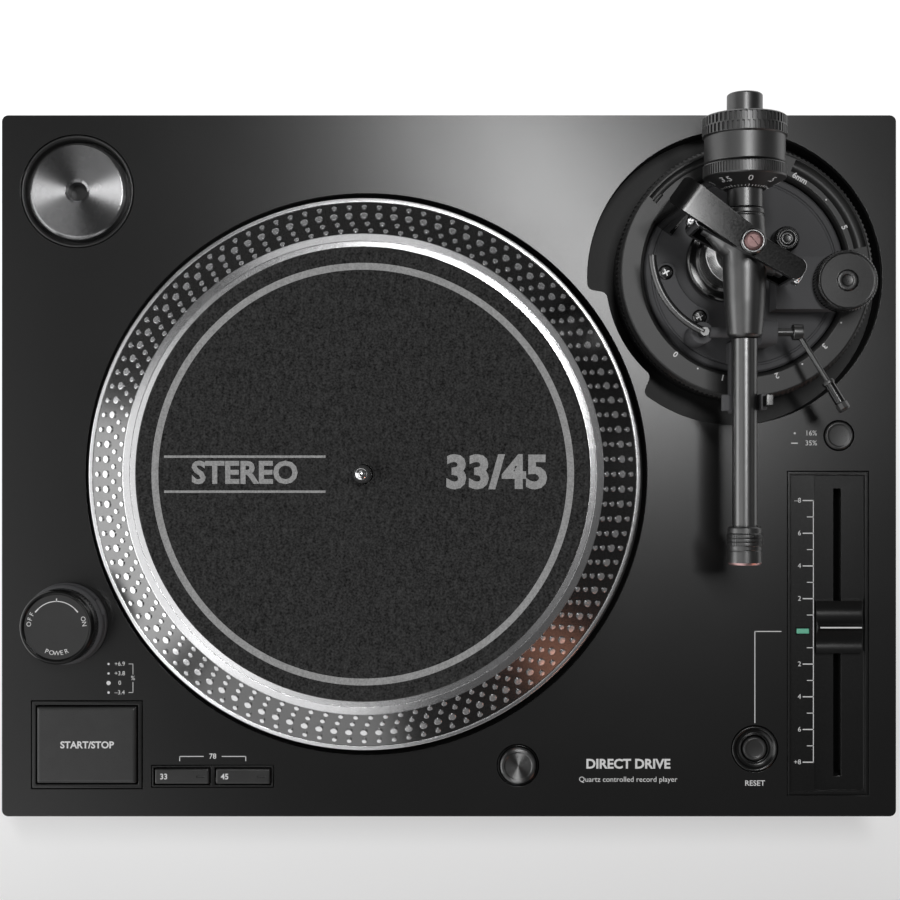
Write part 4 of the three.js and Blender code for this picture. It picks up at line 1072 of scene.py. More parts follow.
class TURNTABLE_OT_buttons(bpy.types.Operator):
    """Models the start and stop button and the two speed buttons, with their frames"""

    bl_idname = "turntable.buttons"
    bl_label = "Start and speed buttons"

    def execute(self, context):
        for node, edge in (("start_stop_frame", 0.35), ("speed_frame", 0.25)):
            frame_piece = worked_copy(node, edge * MM)
            done(frame_piece, f"{node}_moulding", "plinth", "panel_plastic", [node])
        start = self.button("start_stop_button", 0.45, 0.9)
        words = lettering("START/STOP", 3.75 * MM, start.x + 0.3 * MM, start.y, start.high, weight=0.028)
        done(words, "start_stop_legend", "start_stop_button", "white_ink")
        for speed in ("33", "45"):
            node = f"speed_button_{speed}"
            at = self.button(node, 0.35, 0.35)
            x = at.left + 3.5 * MM
            words = lettering(speed, 3.1 * MM, x, at.y - 0.1 * MM, at.high, weight=0.02)
            done(words, f"speed_legend_{speed}", node, "white_ink")
        return {"FINISHED"}

    def button(self, node, edge, slope):
        """A keycap: a block with its top drawn in a little, and its edges eased."""
        at = Spot(node)
        cap = block(at.width, at.depth, at.low, at.high, at.x, at.y)
        edit(cap, "FACE", lambda middle, normal: normal.z > 0.9)
        bpy.ops.mesh.inset(thickness=slope * MM, depth=0)
        leave()
        edit(cap, "VERT", lambda place: place.z > at.high - 0.01 * MM
             and abs(place.x - at.x) > at.width / 2 - 0.01 * MM)
        bpy.ops.transform.translate(value=(0, 0, -0.5 * MM))
        leave()
        eased(cap, edge * MM, 3, 20)
        if node != "start_stop_button":
            cut(cap, block(
                3.2 * MM, 0.9 * MM, at.high - 0.3 * MM, at.high + MM, at.right - 3.4 * MM, at.y, 0.25 * MM))
        done(cap, f"{node}_cap", node, "button_plastic", [node])
        return at


class TURNTABLE_OT_target_light(bpy.types.Operator):
    """Turns the pop-up light and its sleeve"""

    bl_idname = "turntable.target_light"
    bl_label = "Target light"

    def execute(self, context):
        at = Spot("target_light")
        r = at.radius
        outline = [
            (0, at.low), (r, at.low), (r, at.high - 9 * MM), (r - 0.6 * MM, at.high - 8.6 * MM),
            (r - 0.6 * MM, at.high - 3.2 * MM), (r, at.high - 2.8 * MM), (r, at.high - 0.5 * MM),
            (r - 0.5 * MM, at.high), (r - 1.5 * MM, at.high), (r - 1.8 * MM, at.high - 0.3 * MM),
            (0, at.high - 0.45 * MM),
        ]
        light = settle(turned(outline, 0.12 * MM, 96), at.x, at.y)
        done(light, "pop_up_light", "target_light", "spun_black", ["target_light"])
        sleeve = Spot("target_light_sleeve")
        bore = r + 0.15 * MM
        wall = [
            (bore, sleeve.low), (sleeve.radius, sleeve.low), (sleeve.radius, sleeve.high - 0.2 * MM),
            (sleeve.radius - 0.2 * MM, sleeve.high), (bore + 0.3 * MM, sleeve.high),
            (bore, sleeve.high - 0.4 * MM), (bore, sleeve.low),
        ]
        tube = settle(turned(wall, 0.1 * MM, 96), sleeve.x, sleeve.y)
        done(tube, "pop_up_sleeve", "plinth", "gloss_plastic", ["target_light_sleeve"])
        return {"FINISHED"}


class TURNTABLE_OT_pitch(bpy.types.Operator):
    """Models the pitch control: its panel, printed scale, lamp and fader knob"""

    bl_idname = "turntable.pitch"
    bl_label = "Pitch control"

    def execute(self, context):
        panel = worked_copy("pitch_panel", 0.25 * MM)
        done(panel, "pitch_surround", "plinth", "panel_plastic", ["pitch_panel"])
        self.print_scale()
        lamp = Spot("pitch_led")
        glass = block(lamp.width, lamp.depth, lamp.low, lamp.high, lamp.x, lamp.y, 0.25 * MM)
        done(glass, "zero_pitch_lamp", "plinth", "green_lens", ["pitch_led"])
        self.fader()
        return {"FINISHED"}

    def print_scale(self):
        size = sizes()
        at = Spot("pitch_panel")
        z = DECK - CLEAR
        zero = at.y + 0.7 * MM
        right = at.left + 10.1 * MM
        line = 0.32 * MM
        reach = 8 * size.scale_pitch
        marks = [printed_line(right, zero - reach, right, zero + reach, line, z)]
        for step in range(-8, 9):
            if step == 0:
                continue
            y = zero - step * size.scale_pitch
            long = step % 2 == 0
            reach = (4.0 if long else 2.4) * MM
            marks.append(printed_line(right - reach, y, right, y, (0.42 if long else 0.3) * MM, z))
            if long:
                sign = {8: "+", -8: "–"}.get(step, "")
                words = lettering(
                    sign + str(abs(step)), 2.7 * MM, right - reach - 0.8 * MM, y, z, align="RIGHT")
                marks.append(words)
        done(grouped(*marks), "pitch_scale", "plinth", "white_ink")

    def fader(self):
        """The knob: a block drawn up at both ends and at the ridge, hollow where a finger rests."""
        at = Spot("pitch_fader_knob")
        half = at.depth / 2
        base = DECK - 1.4 * MM
        cap = block(at.width, at.depth, base, DECK + 2.2 * MM, at.x, at.y)
        ridge = block(at.width, 0.66 * half, DECK, at.high, at.x, at.y)
        fused(cap, ridge)
        for side in (-1, 1):
            hollow = disc(7 * MM, -0.6 * at.width, 0.6 * at.width, 0, 0, 96)
            hollow.matrix_world = (
                Matrix.Translation((at.x, at.y + side * 0.62 * half, DECK + 7.9 * MM))
                @ Matrix.Rotation(math.pi / 2, 4, "Y"))
            use(hollow)
            bpy.ops.object.transform_apply(location=True, rotation=True, scale=True)
            cut(cap, hollow)
        stem = block(2.1 * MM, 6 * MM, at.low, base + CLEAR, at.x, at.y)
        fused(cap, stem)
        eased(cap, 0.3 * MM, 3, 30)
        done(cap, "pitch_fader_cap", "pitch_fader", "panel_plastic", ["pitch_fader_knob"])
        inset = 1.1 * MM
        line = printed_line(at.left + inset, at.y, at.right - inset, at.y, 0.55 * MM, at.high)
        done(line, "fader_index_line", "pitch_fader", "white_ink")
        track = worked_copy("pitch_fader_track", 0.2 * MM)
        # The fader's rail takes the darkened plastic: painted shade inside its slot.
        done(track, "fader_rail", "plinth", "deep_plastic", ["pitch_fader_track"])


class TURNTABLE_OT_round_buttons(bpy.types.Operator):
    """Turns the pitch range button, and the reset button in its dished ring"""

    bl_idname = "turntable.round_buttons"
    bl_label = "Round buttons"

    def execute(self, context):
        for node, name in (("pitch_range_button", "range_button_cap"), ("reset_button", "reset_button_cap")):
            at = Spot(node)
            r = at.radius
            outline = [
                (0, at.low), (r, at.low), (r, at.high - 0.6 * MM), (r - 0.45 * MM, at.high),
                (r - 1.1 * MM, at.high), (r - 1.5 * MM, at.high - 0.2 * MM), (0, at.high - 0.35 * MM),
            ]
            cap = settle(turned(outline, 0.2 * MM, 72), at.x, at.y)
            done(cap, name, node, "button_plastic", [node])
        at = Spot("reset_ring")
        inner = Spot("reset_button").radius + 0.5 * MM
        top = DECK
        outline = [
            (inner, at.low), (at.radius, at.low), (at.radius, top), (at.radius - 0.35 * MM, top + 0.35 * MM),
            (at.radius - 0.9 * MM, top + 0.3 * MM), (at.radius - 1.8 * MM, top - 0.7 * MM),
            (inner + 0.9 * MM, top - 1.15 * MM), (inner + 0.4 * MM, top - 0.75 * MM),
            (inner, top - 0.9 * MM), (inner, at.low),
        ]
        ring = settle(turned(outline, 0.3 * MM, 96), at.x, at.y)
        done(ring, "reset_dished_ring", "plinth", "panel_plastic", ["reset_ring"])
        return {"FINISHED"}


class TURNTABLE_OT_deck_print(bpy.types.Operator):
    """Prints the words and brackets on the deck"""

    bl_idname = "turntable.deck_print"
    bl_label = "Deck printing"

    def execute(self, context):
        z = DECK
        marks = []
        speed = Spot("speed_frame")
        y = speed.back + 3.6 * MM
        gap, arm, tick = 3.7 * MM, 13 * MM, 1.7 * MM
        marks.append(lettering("78", 2.9 * MM, speed.x, y, z, weight=0.01))
        for side in (-1, 1):
            x1, x2 = speed.x + side * gap, speed.x + side * arm
            marks.append(printed_line(x1, y, x2, y, 0.3 * MM, z))
            marks.append(printed_line(x2, y, x2, y - tick, 0.3 * MM, z))

        power = Spot("power_knob")
        x = power.x + 16.2 * MM
        for row, (words, dot) in enumerate((("+6.9", 0.45), ("+3.8", 0.45), ("0", 0.85), ("–3.4", 0.5))):
            y = power.y - (16.1 + 3.75 * row) * MM
            marks.append(printed_dot(dot * MM, x, y, z))
            marks.append(lettering(words, 2.35 * MM, x + 4.4 * MM, y, z))
        top, bottom = power.y - 16.1 * MM, power.y - 27.35 * MM
        edge = x + 9.6 * MM
        middle = (top + bottom) / 2
        for y, inner in ((top, middle + 1.6 * MM), (bottom, middle - 1.6 * MM)):
            marks.append(printed_line(edge - 1.6 * MM, y, edge, y, 0.22 * MM, z))
            marks.append(printed_line(edge, y, edge, inner, 0.22 * MM, z))
        marks.append(lettering("%", 2.5 * MM, edge, middle, z))

        button = Spot("pitch_range_button")
        for row, words in enumerate(("16%", "35%")):
            y = button.y + (0.9 - 3.9 * row) * MM
            marks.append(lettering(words, 2.8 * MM, button.x - 8.6 * MM, y, z, align="RIGHT"))
        marks.append(printed_dot(0.42 * MM, button.x - 17.4 * MM, button.y + 0.9 * MM, z))
        y = button.y - 3 * MM
        marks.append(printed_line(button.x - 18.6 * MM, y, button.x - 16.4 * MM, y, 0.45 * MM, z))

        reset = Spot("reset_ring")
        lamp = Spot("pitch_led")
        marks.append(lettering("RESET", 3.0 * MM, reset.x, reset.y - 13.6 * MM, z, weight=0.01))
        corner = lamp.y - 0.1 * MM
        marks.append(printed_line(reset.x, reset.y + 10.3 * MM, reset.x, corner, 0.34 * MM, z))
        marks.append(printed_line(reset.x, corner, reset.x + 10.3 * MM, corner, 0.34 * MM, z))

        title = Spot("target_light").x + 43.3 * MM
        y = Spot("target_light").y
        marks.append(lettering("DIRECT DRIVE", 5.2 * MM, title, y + 0.4 * MM, z, weight=0.03))
        marks.append(lettering("Quartz controlled record player", 2.95 * MM, title, y - 5.6 * MM, z))
        done(grouped(*marks), "deck_legends", "plinth", "white_ink")
        return {"FINISHED"}


# ------------------------------------------------------------------ tonearm base
def groove_tool(at, radius, half, depth, first, last, top):
    """A round-bottomed groove along an arc, to be cut out of a flat top."""
    bend = (half * half + depth * depth) / (2 * depth)
    steps = 28
    loop = []
    for step in range(steps + 1):
        angle = step * FULL / steps
        loop.append((radius + bend * math.cos(angle), bend - depth + bend * math.sin(angle)))
    tool = turned(loop, 0, 72, math.radians(last - first))
    return settle(tool, at.x, at.y, top, turn=math.radians(first))


class TURNTABLE_OT_height_ring(bpy.types.Operator):
    """Turns the height ring, serrates its wall, cuts its grooves and prints its numbers"""

    bl_idname = "turntable.height_ring"
    bl_label = "Height ring"

    def execute(self, context):
        size = sizes()
        at = Spot("height_ring")
        r, inner, top = at.radius, size.ring_inner, at.high
        outline = [
            (inner, at.low), (r - 0.6 * MM, at.low), (r - 0.6 * MM, top - 8 * MM), (r, top - 7.6 * MM),
            (r, top - 1.9 * MM), (r - 0.7 * MM, top - 1.0 * MM), (r - 1.3 * MM, top - 0.15 * MM),
            (r - 1.8 * MM, top), (inner + 1.4 * MM, top), (inner + 0.5 * MM, top - 0.5 * MM),
            (inner, top - 1.6 * MM), (inner, at.low),
        ]
        ring = turned(outline, 0.2 * MM, 320)
        notched(ring, 320, 0.35 * MM, top - 7.2 * MM, top - 0.4 * MM, r - 1.1 * MM)
        settle(ring, at.x, at.y)
        cut(
            ring,
            groove_tool(at, 45.2 * MM, 2.5 * MM, 1.5 * MM, 12, 66, top),
            groove_tool(at, 45.8 * MM, 1.6 * MM, 1.2 * MM, 100, 142, top),
            groove_tool(at, 44.6 * MM, 1.0 * MM, 0.9 * MM, 137, 142.6, top),
        )
        done(ring, "height_adjust_ring", "height_ring", "ring_plastic", ["height_ring"])
        marks = []
        for words, angle in (
                ("0", 229.5), ("1", 257.6), ("2", 286.7), ("3", 316.7), ("5", 24.4), ("6mm", 60)):
            x, y = around(at, 41.8 * MM, angle)
            marks.append(lettering(words, 3.1 * MM, x, y, top, math.radians(angle - 90), 0.03))
        for angle in (243.5, 272, 301.5, 332, 351, 8, 42):
            x, y = around(at, 41.8 * MM, angle)
            marks.append(printed_dot(0.34 * MM, x, y, top))
        done(grouped(*marks), "height_ring_numbers", "height_ring", "white_ink")
        return {"FINISHED"}


class TURNTABLE_OT_arm_base(bpy.types.Operator):
    """Models the plate inside the height ring, the pillar, and the plate's screws"""

    bl_idname = "turntable.arm_base"
    bl_label = "Arm base"

    def execute(self, context):
        ring, pivot, plate = Spot("height_ring"), Spot("pivot_cap"), Spot("arm_base")
        top = DECK + 7 * MM
        r = sizes().ring_inner - 0.4 * MM
        outline = [
            (0, plate.low), (r, plate.low), (r, top - 0.8 * MM), (r - 0.8 * MM, top), (r - 2.6 * MM, top),
            (r - 2.9 * MM, top - 0.5 * MM), (r - 3.5 * MM, top - 0.5 * MM), (r - 3.8 * MM, top), (0, top),
        ]
        base = settle(turned(outline, 0.15 * MM, 160), ring.x, ring.y)
        post_x, post_y = around(pivot, 32 * MM, 247)
        shaft_y = pivot.y - 29.4 * MM
        shaft_z = DECK + 28 * MM
        post = disc(4.2 * MM, top - 0.5 * MM, DECK + 27 * MM, post_x, post_y, 48)
        eased(post, 0.5 * MM, 2)
        bearing_x = pivot.x + 12 * MM
        bearing = block(6 * MM, 9 * MM, top - 0.5 * MM, shaft_z + 4 * MM, bearing_x, shaft_y)
        edit(bearing, "EDGE", lambda one, other: min(one.z, other.z) > shaft_z + 3.9 * MM
             and abs(one.x - other.x) > MM)
        bpy.ops.mesh.bevel(offset=3.4 * MM, segments=8, affect="EDGES")
        leave()
        eased(bearing, 0.4 * MM, 2)
        sleeve = rod((post_x + 2.5 * MM, shaft_y, shaft_z), (bearing_x, shaft_y, shaft_z), 1.95 * MM)
        fused(base, post, bearing, sleeve)
        lock = Spot("height_lock_knob")
        cut(
            base,
            disc(1.75 * MM, DECK + 9 * MM, DECK + 28 * MM, post_x, post_y, 32),
            disc(2.2 * MM, top - 9 * MM, top + MM, lock.x, lock.y, 32),
            rod((pivot.x - 8 * MM, shaft_y, shaft_z), (pivot.x + 21 * MM, shaft_y, shaft_z), 1.7 * MM),
        )
        done(base, "arm_base_plate", "arm_base", "black_plastic", ["arm_base"])
        self.pillar(pivot)
        self.crescent(pivot, top)
        return {"FINISHED"}

    def pillar(self, at):
        low, high = Spot("pivot_pillar").low, Spot("pivot_pillar").high
        outline = [
            (0, low), (16 * MM, low), (16 * MM, DECK + 11.2 * MM), (15.2 * MM, DECK + 12 * MM),
            (12.6 * MM, DECK + 12 * MM), (11.5 * MM, DECK + 13.2 * MM), (11.5 * MM, high - 4.5 * MM),
            (11.1 * MM, high - 4.3 * MM), (11.1 * MM, high - 3.8 * MM), (11.3 * MM, high - 3.4 * MM),
            (8.6 * MM, high), (2.15 * MM, high), (2.15 * MM, high - 7 * MM), (0, high - 7 * MM),
        ]
        pillar = settle(turned(outline, 0.3 * MM, 96), at.x, at.y)
        coat(pillar, "dark_gloss")
        coat(pillar, "grey_chrome", lambda middle, normal: middle.z > DECK + 12.8 * MM)
        done(pillar, "pivot_column", "arm_base", replaces=["pivot_pillar"])

    def crescent(self, at, top):
        """A curved cover on the base, held by two cross-head screws."""
        outline = [
            (20.4 * MM, 0), (27.4 * MM, 0), (27.4 * MM, 1.6 * MM), (26.9 * MM, 2.1 * MM),
            (20.9 * MM, 2.1 * MM), (20.4 * MM, 1.6 * MM), (20.4 * MM, 0),
        ]
        cover = settle(
            turned(outline, 0.2 * MM, 48, math.radians(53)), at.x, at.y, top - SINK, turn=math.radians(190.5))
        for bearing in (190.5, 243.5):
            x, y = around(at, 24.3 * MM, bearing)
            lobe = disc(3.9 * MM, top - SINK, top + 2.1 * MM, x, y, 48)
            eased(lobe, 0.4 * MM, 2)
            fused(cover, lobe)
        screws = []
        for bearing in (190.5, 243.5):
            x, y = around(at, 24.3 * MM, bearing)
            head = [(0, 0), (2.9 * MM, 0), (2.9 * MM, 0.5 * MM), (2.2 * MM, 1.15 * MM), (0, 1.5 * MM)]
            screw = settle(turned(head, 0.2 * MM, 40), x, y, top + 2.0 * MM)
            for turn in (25, 115):
                slot = block(3 * MM, 0.7 * MM, 0.5 * MM, 3 * MM)
                cut(screw, settle(slot, x, y, top + 2.0 * MM, turn=math.radians(turn)))
            screws.append(screw)
        done(cover, "cable_cover", "arm_base", "black_plastic")
        done(grouped(*screws), "cable_cover_screws", "arm_base", "dark_gloss")


class TURNTABLE_OT_bracket(bpy.types.Operator):
    """Models the bracket over the gimbal and the cap that holds it"""

    bl_idname = "turntable.bracket"
    bl_label = "Overhead bracket"

    def execute(self, context):
        at, source = Spot("pivot_cap"), Spot("overhead_bracket")
        low, high = source.high - 3 * MM, source.high
        turn = math.radians(144)
        arm = block(33 * MM, 9 * MM, low, high, 16.5 * MM, 0)
        edit(arm, "FACE", lambda middle, normal: normal.x > 0.9)
        bpy.ops.transform.resize(value=(1, 1.3, 1))
        leave()
        edit(arm, "EDGE", lambda one, other: abs(one.z - other.z) > MM and one.x > MM)
        bpy.ops.mesh.bevel(offset=2.2 * MM, segments=5, affect="EDGES")
        leave()
        nose = disc(4.5 * MM, low, high, 0, 0, 64)
        post = block(8.2 * MM, 10 * MM, DECK + 10.6 * MM, low + MM, 28.6 * MM, 0, 0.8 * MM)
        foot = block(7.4 * MM, 9.4 * MM, DECK + 7.3 * MM, DECK + 11.6 * MM, 27 * MM, 0)
        fused(arm, nose, post)
        slope = block(14 * MM, 20 * MM, 0, 8 * MM, 7 * MM, 0)
        slope.matrix_world = (
            Matrix.Translation((25.5 * MM, 0, high)) @ Matrix.Rotation(math.radians(17), 4, "Y"))
        use(slope)
        bpy.ops.object.transform_apply(location=True, rotation=True, scale=True)
        cut(arm, slope, disc(1.9 * MM, low - MM, high + MM, 0, 0, 32))
        eased(arm, 0.45 * MM, 3, 30)
        settle(arm, at.x, at.y, turn=turn)
        settle(foot, at.x, at.y, turn=turn)
        ring = Spot("height_ring")
        modified(foot, "BOOLEAN", operation="INTERSECT", solver="EXACT", object=self.room(ring))
        bpy.data.objects.remove(bpy.data.objects["bracket_room"])
        fused(arm, foot)
        done(arm, "bracket_over_gimbal", "arm_base", "gloss_plastic", ["overhead_bracket"])

        base = at.low + 3.3 * MM
        r = at.radius
        outline = [
            (0, at.low), (1.6 * MM, at.low), (1.6 * MM, base), (r, base), (r, base + 0.8 * MM),
            (r - 0.5 * MM, base + 1.3 * MM), (0.74 * r, base + 1.3 * MM), (0.7 * r, base + 0.9 * MM),
            (0.66 * r, base + 1.4 * MM), (0.5 * r, base + 1.75 * MM), (0, at.high),
        ]
        cap = settle(turned(outline, 0.15 * MM, 64), at.x, at.y)
        coat(cap, "dark_gloss")
        for bearing in (40, 130):
            slot = block(0.9 * r, 0.5 * MM, at.high - 0.7 * MM, at.high + MM)
            cut(cap, settle(slot, at.x, at.y, turn=math.radians(bearing)))
        # The cap's middle takes the darkened rose metal: painted shade.
        coat(cap, "rose_dark", lambda middle, normal: middle.z > base + 0.85 * MM
             and math.hypot(middle.x - at.x, middle.y - at.y) < 0.7 * r)
        done(cap, "pivot_cap_screw", "arm_base", replaces=["pivot_cap"])
        return {"FINISHED"}

    def room(self, ring):
        """The space inside the height ring, which the bracket's foot must stay in."""
        room = disc(sizes().ring_inner - 0.4 * MM, ring.low, ring.high + 4 * MM, ring.x, ring.y, 160)
        room.name = "bracket_room"
        return room


class TURNTABLE_OT_side_controls(bpy.types.Operator):
    """Models the anti-skate control and the height lock"""

    bl_idname = "turntable.side_controls"
    bl_label = "Anti-skate and lock"

    def execute(self, context):
        box = worked_copy("anti_skate_housing", 0.7 * MM, 3)
        done(box, "anti_skate_box", "arm_base", "black_plastic", ["anti_skate_housing"])

        at = Spot("anti_skate_knob")
        skirt = DECK + 20.3 * MM
        self.knob(at, "anti_skate_dial", "anti_skate_knob", skirt, 2.5 * MM, 3.7 * MM, 120)
        lock = Spot("height_lock_knob")
        self.knob(lock, "height_lock_dial", "height_lock_knob", DECK + 7.3 * MM, 2 * MM, 2.4 * MM, 72)
        return {"FINISHED"}

    def knob(self, at, name, node, skirt, stem, centre, sides):
        """A round knob with a serrated edge, a flat ring and a raised middle."""
        r, top = at.radius, at.high
        outline = [
            (0, at.low), (stem, at.low), (stem, skirt), (r - 0.4 * MM, skirt), (r, skirt + 0.4 * MM),
            (r, top - 1.5 * MM), (r - 0.7 * MM, top - 0.4 * MM), (r - 1.1 * MM, top - 0.2 * MM),
            (r - 1.5 * MM, top - 0.4 * MM), (centre + 0.3 * MM, top - 0.4 * MM), (centre, top),
            (0.6 * centre, top), (0.55 * centre, top - 0.25 * MM), (0, top - 0.25 * MM),
        ]
        knob = turned(outline, 0.2 * MM, sides)
        notched(knob, sides, 0.3 * MM, skirt + 0.8 * MM, top - 0.6 * MM, r - 0.6 * MM)
        settle(knob, at.x, at.y)
        done(knob, name, node, "panel_plastic", [node])


class TURNTABLE_OT_lift(bpy.types.Operator):
    """Models the lift rail and the cue lever that raises it"""

    bl_idname = "turntable.lift"
    bl_label = "Cue lever and lift"

    def execute(self, context):
        pivot = Spot("pivot_cap")
        r = sizes().rail
        height = DECK + 31.5 * MM
        loop = []
        for step in range(17):
            angle = step * FULL / 16
            loop.append((32 * MM + r * math.cos(angle), r * math.sin(angle)))
        rail = settle(turned(loop, 0, 48, math.radians(66)), pivot.x, pivot.y, height, turn=math.radians(181))
        eased(rail, 0.35 * MM, 2, 60)
        x, y = around(pivot, 32 * MM, 247)
        pin = disc(1.6 * MM, DECK + 12 * MM, height + r - 0.2 * MM, x, y, 32)
        fused(rail, pin)
        done(rail, "arm_lift_rail", "lift_rail", "anodised_black", ["lift_rail"])

        y, z = pivot.y - 29.4 * MM, DECK + 28 * MM
        left, hub = pivot.x - 7 * MM, pivot.x + 21 * MM
        tip = Vector((pivot.x + 38.9 * MM, pivot.y - 59 * MM, DECK + 36 * MM))
        middle = Vector((hub + 2 * MM, y, z))
        grip = middle.lerp(tip, 0.66)
        shaft = rod((left, y, z), (hub + 3.8 * MM, y, z), 1.5 * MM)
        boss = rod((hub, y, z), (hub + 4 * MM, y, z), 3 * MM, 48)
        eased(boss, 0.5 * MM, 3)
        stick = rod(middle, middle.lerp(tip, 0.95), 1.0 * MM)
        sleeve = rod(grip, middle.lerp(tip, 0.985), 2.0 * MM, 48)
        eased(sleeve, 0.4 * MM, 3)
        bead = rod(middle.lerp(tip, 0.9), tip, 2.4 * MM, 10)
        eased(bead, 0.6 * MM, 1)
        collar = rod(middle.lerp(tip, 0.63), middle.lerp(tip, 0.675), 2.3 * MM, 48)
        eased(collar, 0.3 * MM, 2)
        lever = fused(shaft, boss, stick, sleeve, collar, bead)
        coat(lever, "anodised_black")
        first = middle.lerp(tip, 0.68)
        last = middle.lerp(tip, 0.895)
        coat(lever, "dark_gloss", lambda place, normal: last.y < place.y < first.y)
        done(lever, "cue_lever_rod", "cue_lever", replaces=["cue_lever"])
        return {"FINISHED"}


class TURNTABLE_OT_arm_rest(bpy.types.Operator):
    """Models the arm rest and its clip"""

    bl_idname = "turntable.arm_rest"
    bl_label = "Arm rest"

    def execute(self, context):
        rest = worked_copy("arm_rest", 0.45 * MM, 3)
        left = Spot("pivot_cap").x - 2 * MM
        edit(rest, "VERT", lambda place: place.x < left and place.z < DECK + 17.5 * MM)
        bpy.ops.transform.translate(value=(2.5 * MM, 0, 0))
        leave()
        done(rest, "arm_rest_post", "arm_base", "black_plastic", ["arm_rest"])
        clip = worked_copy("arm_clip", 0.3 * MM, 3)
        done(clip, "arm_rest_clip", "arm_clip", "dark_gloss", ["arm_clip"])
        return {"FINISHED"}


# ------------------------------------------------------------------ tonearm
def on_arm(outline, fillet=0.2 * MM, sides=96):
    """A piece turned about the arm's axis: heights are distances in front of the pivot."""
    pivot, axis = Spot("pivot_cap"), Spot("arm_tube").z
    return settle(turned(outline, fillet, sides), pivot.x, pivot.y, axis, facing="FRONT")


def mm(*points):
    return [(radius * MM, height * MM) for radius, height in points]


class TURNTABLE_OT_gimbal(bpy.types.Operator):
    """Models the gimbal's frame and its pivot screws"""

    bl_idname = "turntable.gimbal"
    bl_label = "Gimbal"

    def execute(self, context):
        at, axis = Spot("pivot_cap"), Spot("arm_tube").z
        turn = math.radians(-29.3)
        low, high = axis - 12.2 * MM, axis + 12.2 * MM
        bar = block(44 * MM, 8 * MM, low, high)
        edit(bar, "EDGE", lambda one, other: abs(one.z - other.z) > MM)
        bpy.ops.mesh.bevel(offset=3.3 * MM, segments=8, affect="EDGES")
        leave()
        cut(bar, block(36.8 * MM, 10 * MM, axis - 9.6 * MM, axis + 9.6 * MM))
        eased(bar, 0.9 * MM, 3, 50)
        foot = disc(2 * MM, DECK + 26.7 * MM, low + MM, 0, 0, 32)
        parts = [bar, foot]
        for side in (-1, 1):
            parts.append(rod(
                (side * 19.4 * MM, 0, axis), (side * 14.4 * MM, 0, axis), 1.6 * MM))
        frame_bar = fused(*parts)
        coat(frame_bar, "gloss_plastic")
        coat(frame_bar, "bright_chrome",
             lambda middle, normal: abs(middle.x) > 19.6 * MM and abs(normal.z) < 0.95)
        settle(frame_bar, at.x, at.y, turn=turn)
        done(frame_bar, "gimbal_bar", "gimbal", replaces=["gimbal_frame"])

        bolts = []
        for side in (-1, 1):
            bolt = turned(mm((0, -0.8), (3.3, -0.8), (3.3, 0.7), (2.7, 1.4), (0, 1.7)), 0.2 * MM, 48)
            cut(bolt, block(7 * MM, 0.7 * MM, 0.9 * MM, 3 * MM))
            sink = 0.1 * MM
            settle(bolt, 0, -(22 * MM - sink), 0, facing="FRONT")
            settle(bolt, at.x, at.y, axis, turn=turn + side * math.pi / 2)
            bolts.append(bolt)
        done(grouped(*bolts), "gimbal_pivot_screws", "gimbal", "bright_chrome")
        return {"FINISHED"}


class TURNTABLE_OT_arm(bpy.types.Operator):
    """Turns the arm's housing with its pivot cones, the tube and the locking collar"""

    bl_idname = "turntable.arm"
    bl_label = "Arm, tube and collar"

    def execute(self, context):
        at, axis = Spot("pivot_cap"), Spot("arm_tube").z
        housing = on_arm(mm(
            (0, -14), (6.8, -14), (7.1, -13.6), (7.1, -12.2), (6.8, -11.9), (6.8, -11.4), (7.1, -11.1),
            (8.0, 0), (8.0, 8), (7.4, 20), (6.3, 31.9), (5.9, 32.4), (5.2, 33), (0, 33)), 0.8 * MM)
        cones = []
        for angle in (-29.3, 150.7):
            cone = turned(mm((0, 2), (7.4, 2), (6.6, 7.6), (4.4, 12.6), (4.2, 13.9), (3.6, 14.1), (3.6, 16.4),
                             (3.3, 16.6), (1.75, 16.6), (1.75, 13.1), (0, 13.1)), 0.5 * MM, 64)
            cones.append(settle(cone, at.x, at.y, axis, "FRONT", math.radians(angle + 90)))
        fused(housing, *cones)
        done(housing, "arm_bearing_housing", "arm", "anodised_black", ["arm_housing"])

        tube = on_arm(mm(
            (3.7, 33.3), (4.5, 33.3), (4.5, 101.5), (4.3, 101.5), (4.3, 114.4), (4.0, 114.8), (0, 114.8),
            (0, 99.5), (3.7, 99.5), (3.7, 33.3)), 0.15 * MM)
        coat(tube, "tube_black")
        coat(tube, "rose_metal", lambda middle, normal: middle.y < at.y - 113 * MM)
        done(tube, "tonearm_tube", "arm", replaces=["arm_tube"])

        rows = []
        for row in range(3):
            low = 104.6 + 1.43 * row
            rows += [(6.55, low), (6.55, low + 1.2), (6.3, low + 1.26), (6.3, low + 1.38)]
        collar = turned(mm(
            (4.9, 101.8), (5.6, 101.8), (6.15, 102.4), (6.15, 104.2), (6.3, 104.3), *rows,
            (6.15, 109.0), (6.15, 110.2), (6.0, 110.4), (6.0, 110.7), (6.15, 110.9), (6.15, 115),
            (5.6, 115.8), (4.9, 115.8), (4.9, 101.8)), 0.08 * MM, 120)
        notched(collar, 120, 0.22 * MM, 104.5 * MM, 108.8 * MM, 6.4 * MM)
        coat(collar, "anodised_black")
        coat(collar, "rose_metal", lambda middle, normal: middle.z > 114.9 * MM and normal.z > 0.1)
        settle(collar, at.x, at.y, axis, facing="FRONT")
        done(collar, "headshell_collar", "locking_collar", None, ["locking_collar"])
        return {"FINISHED"}


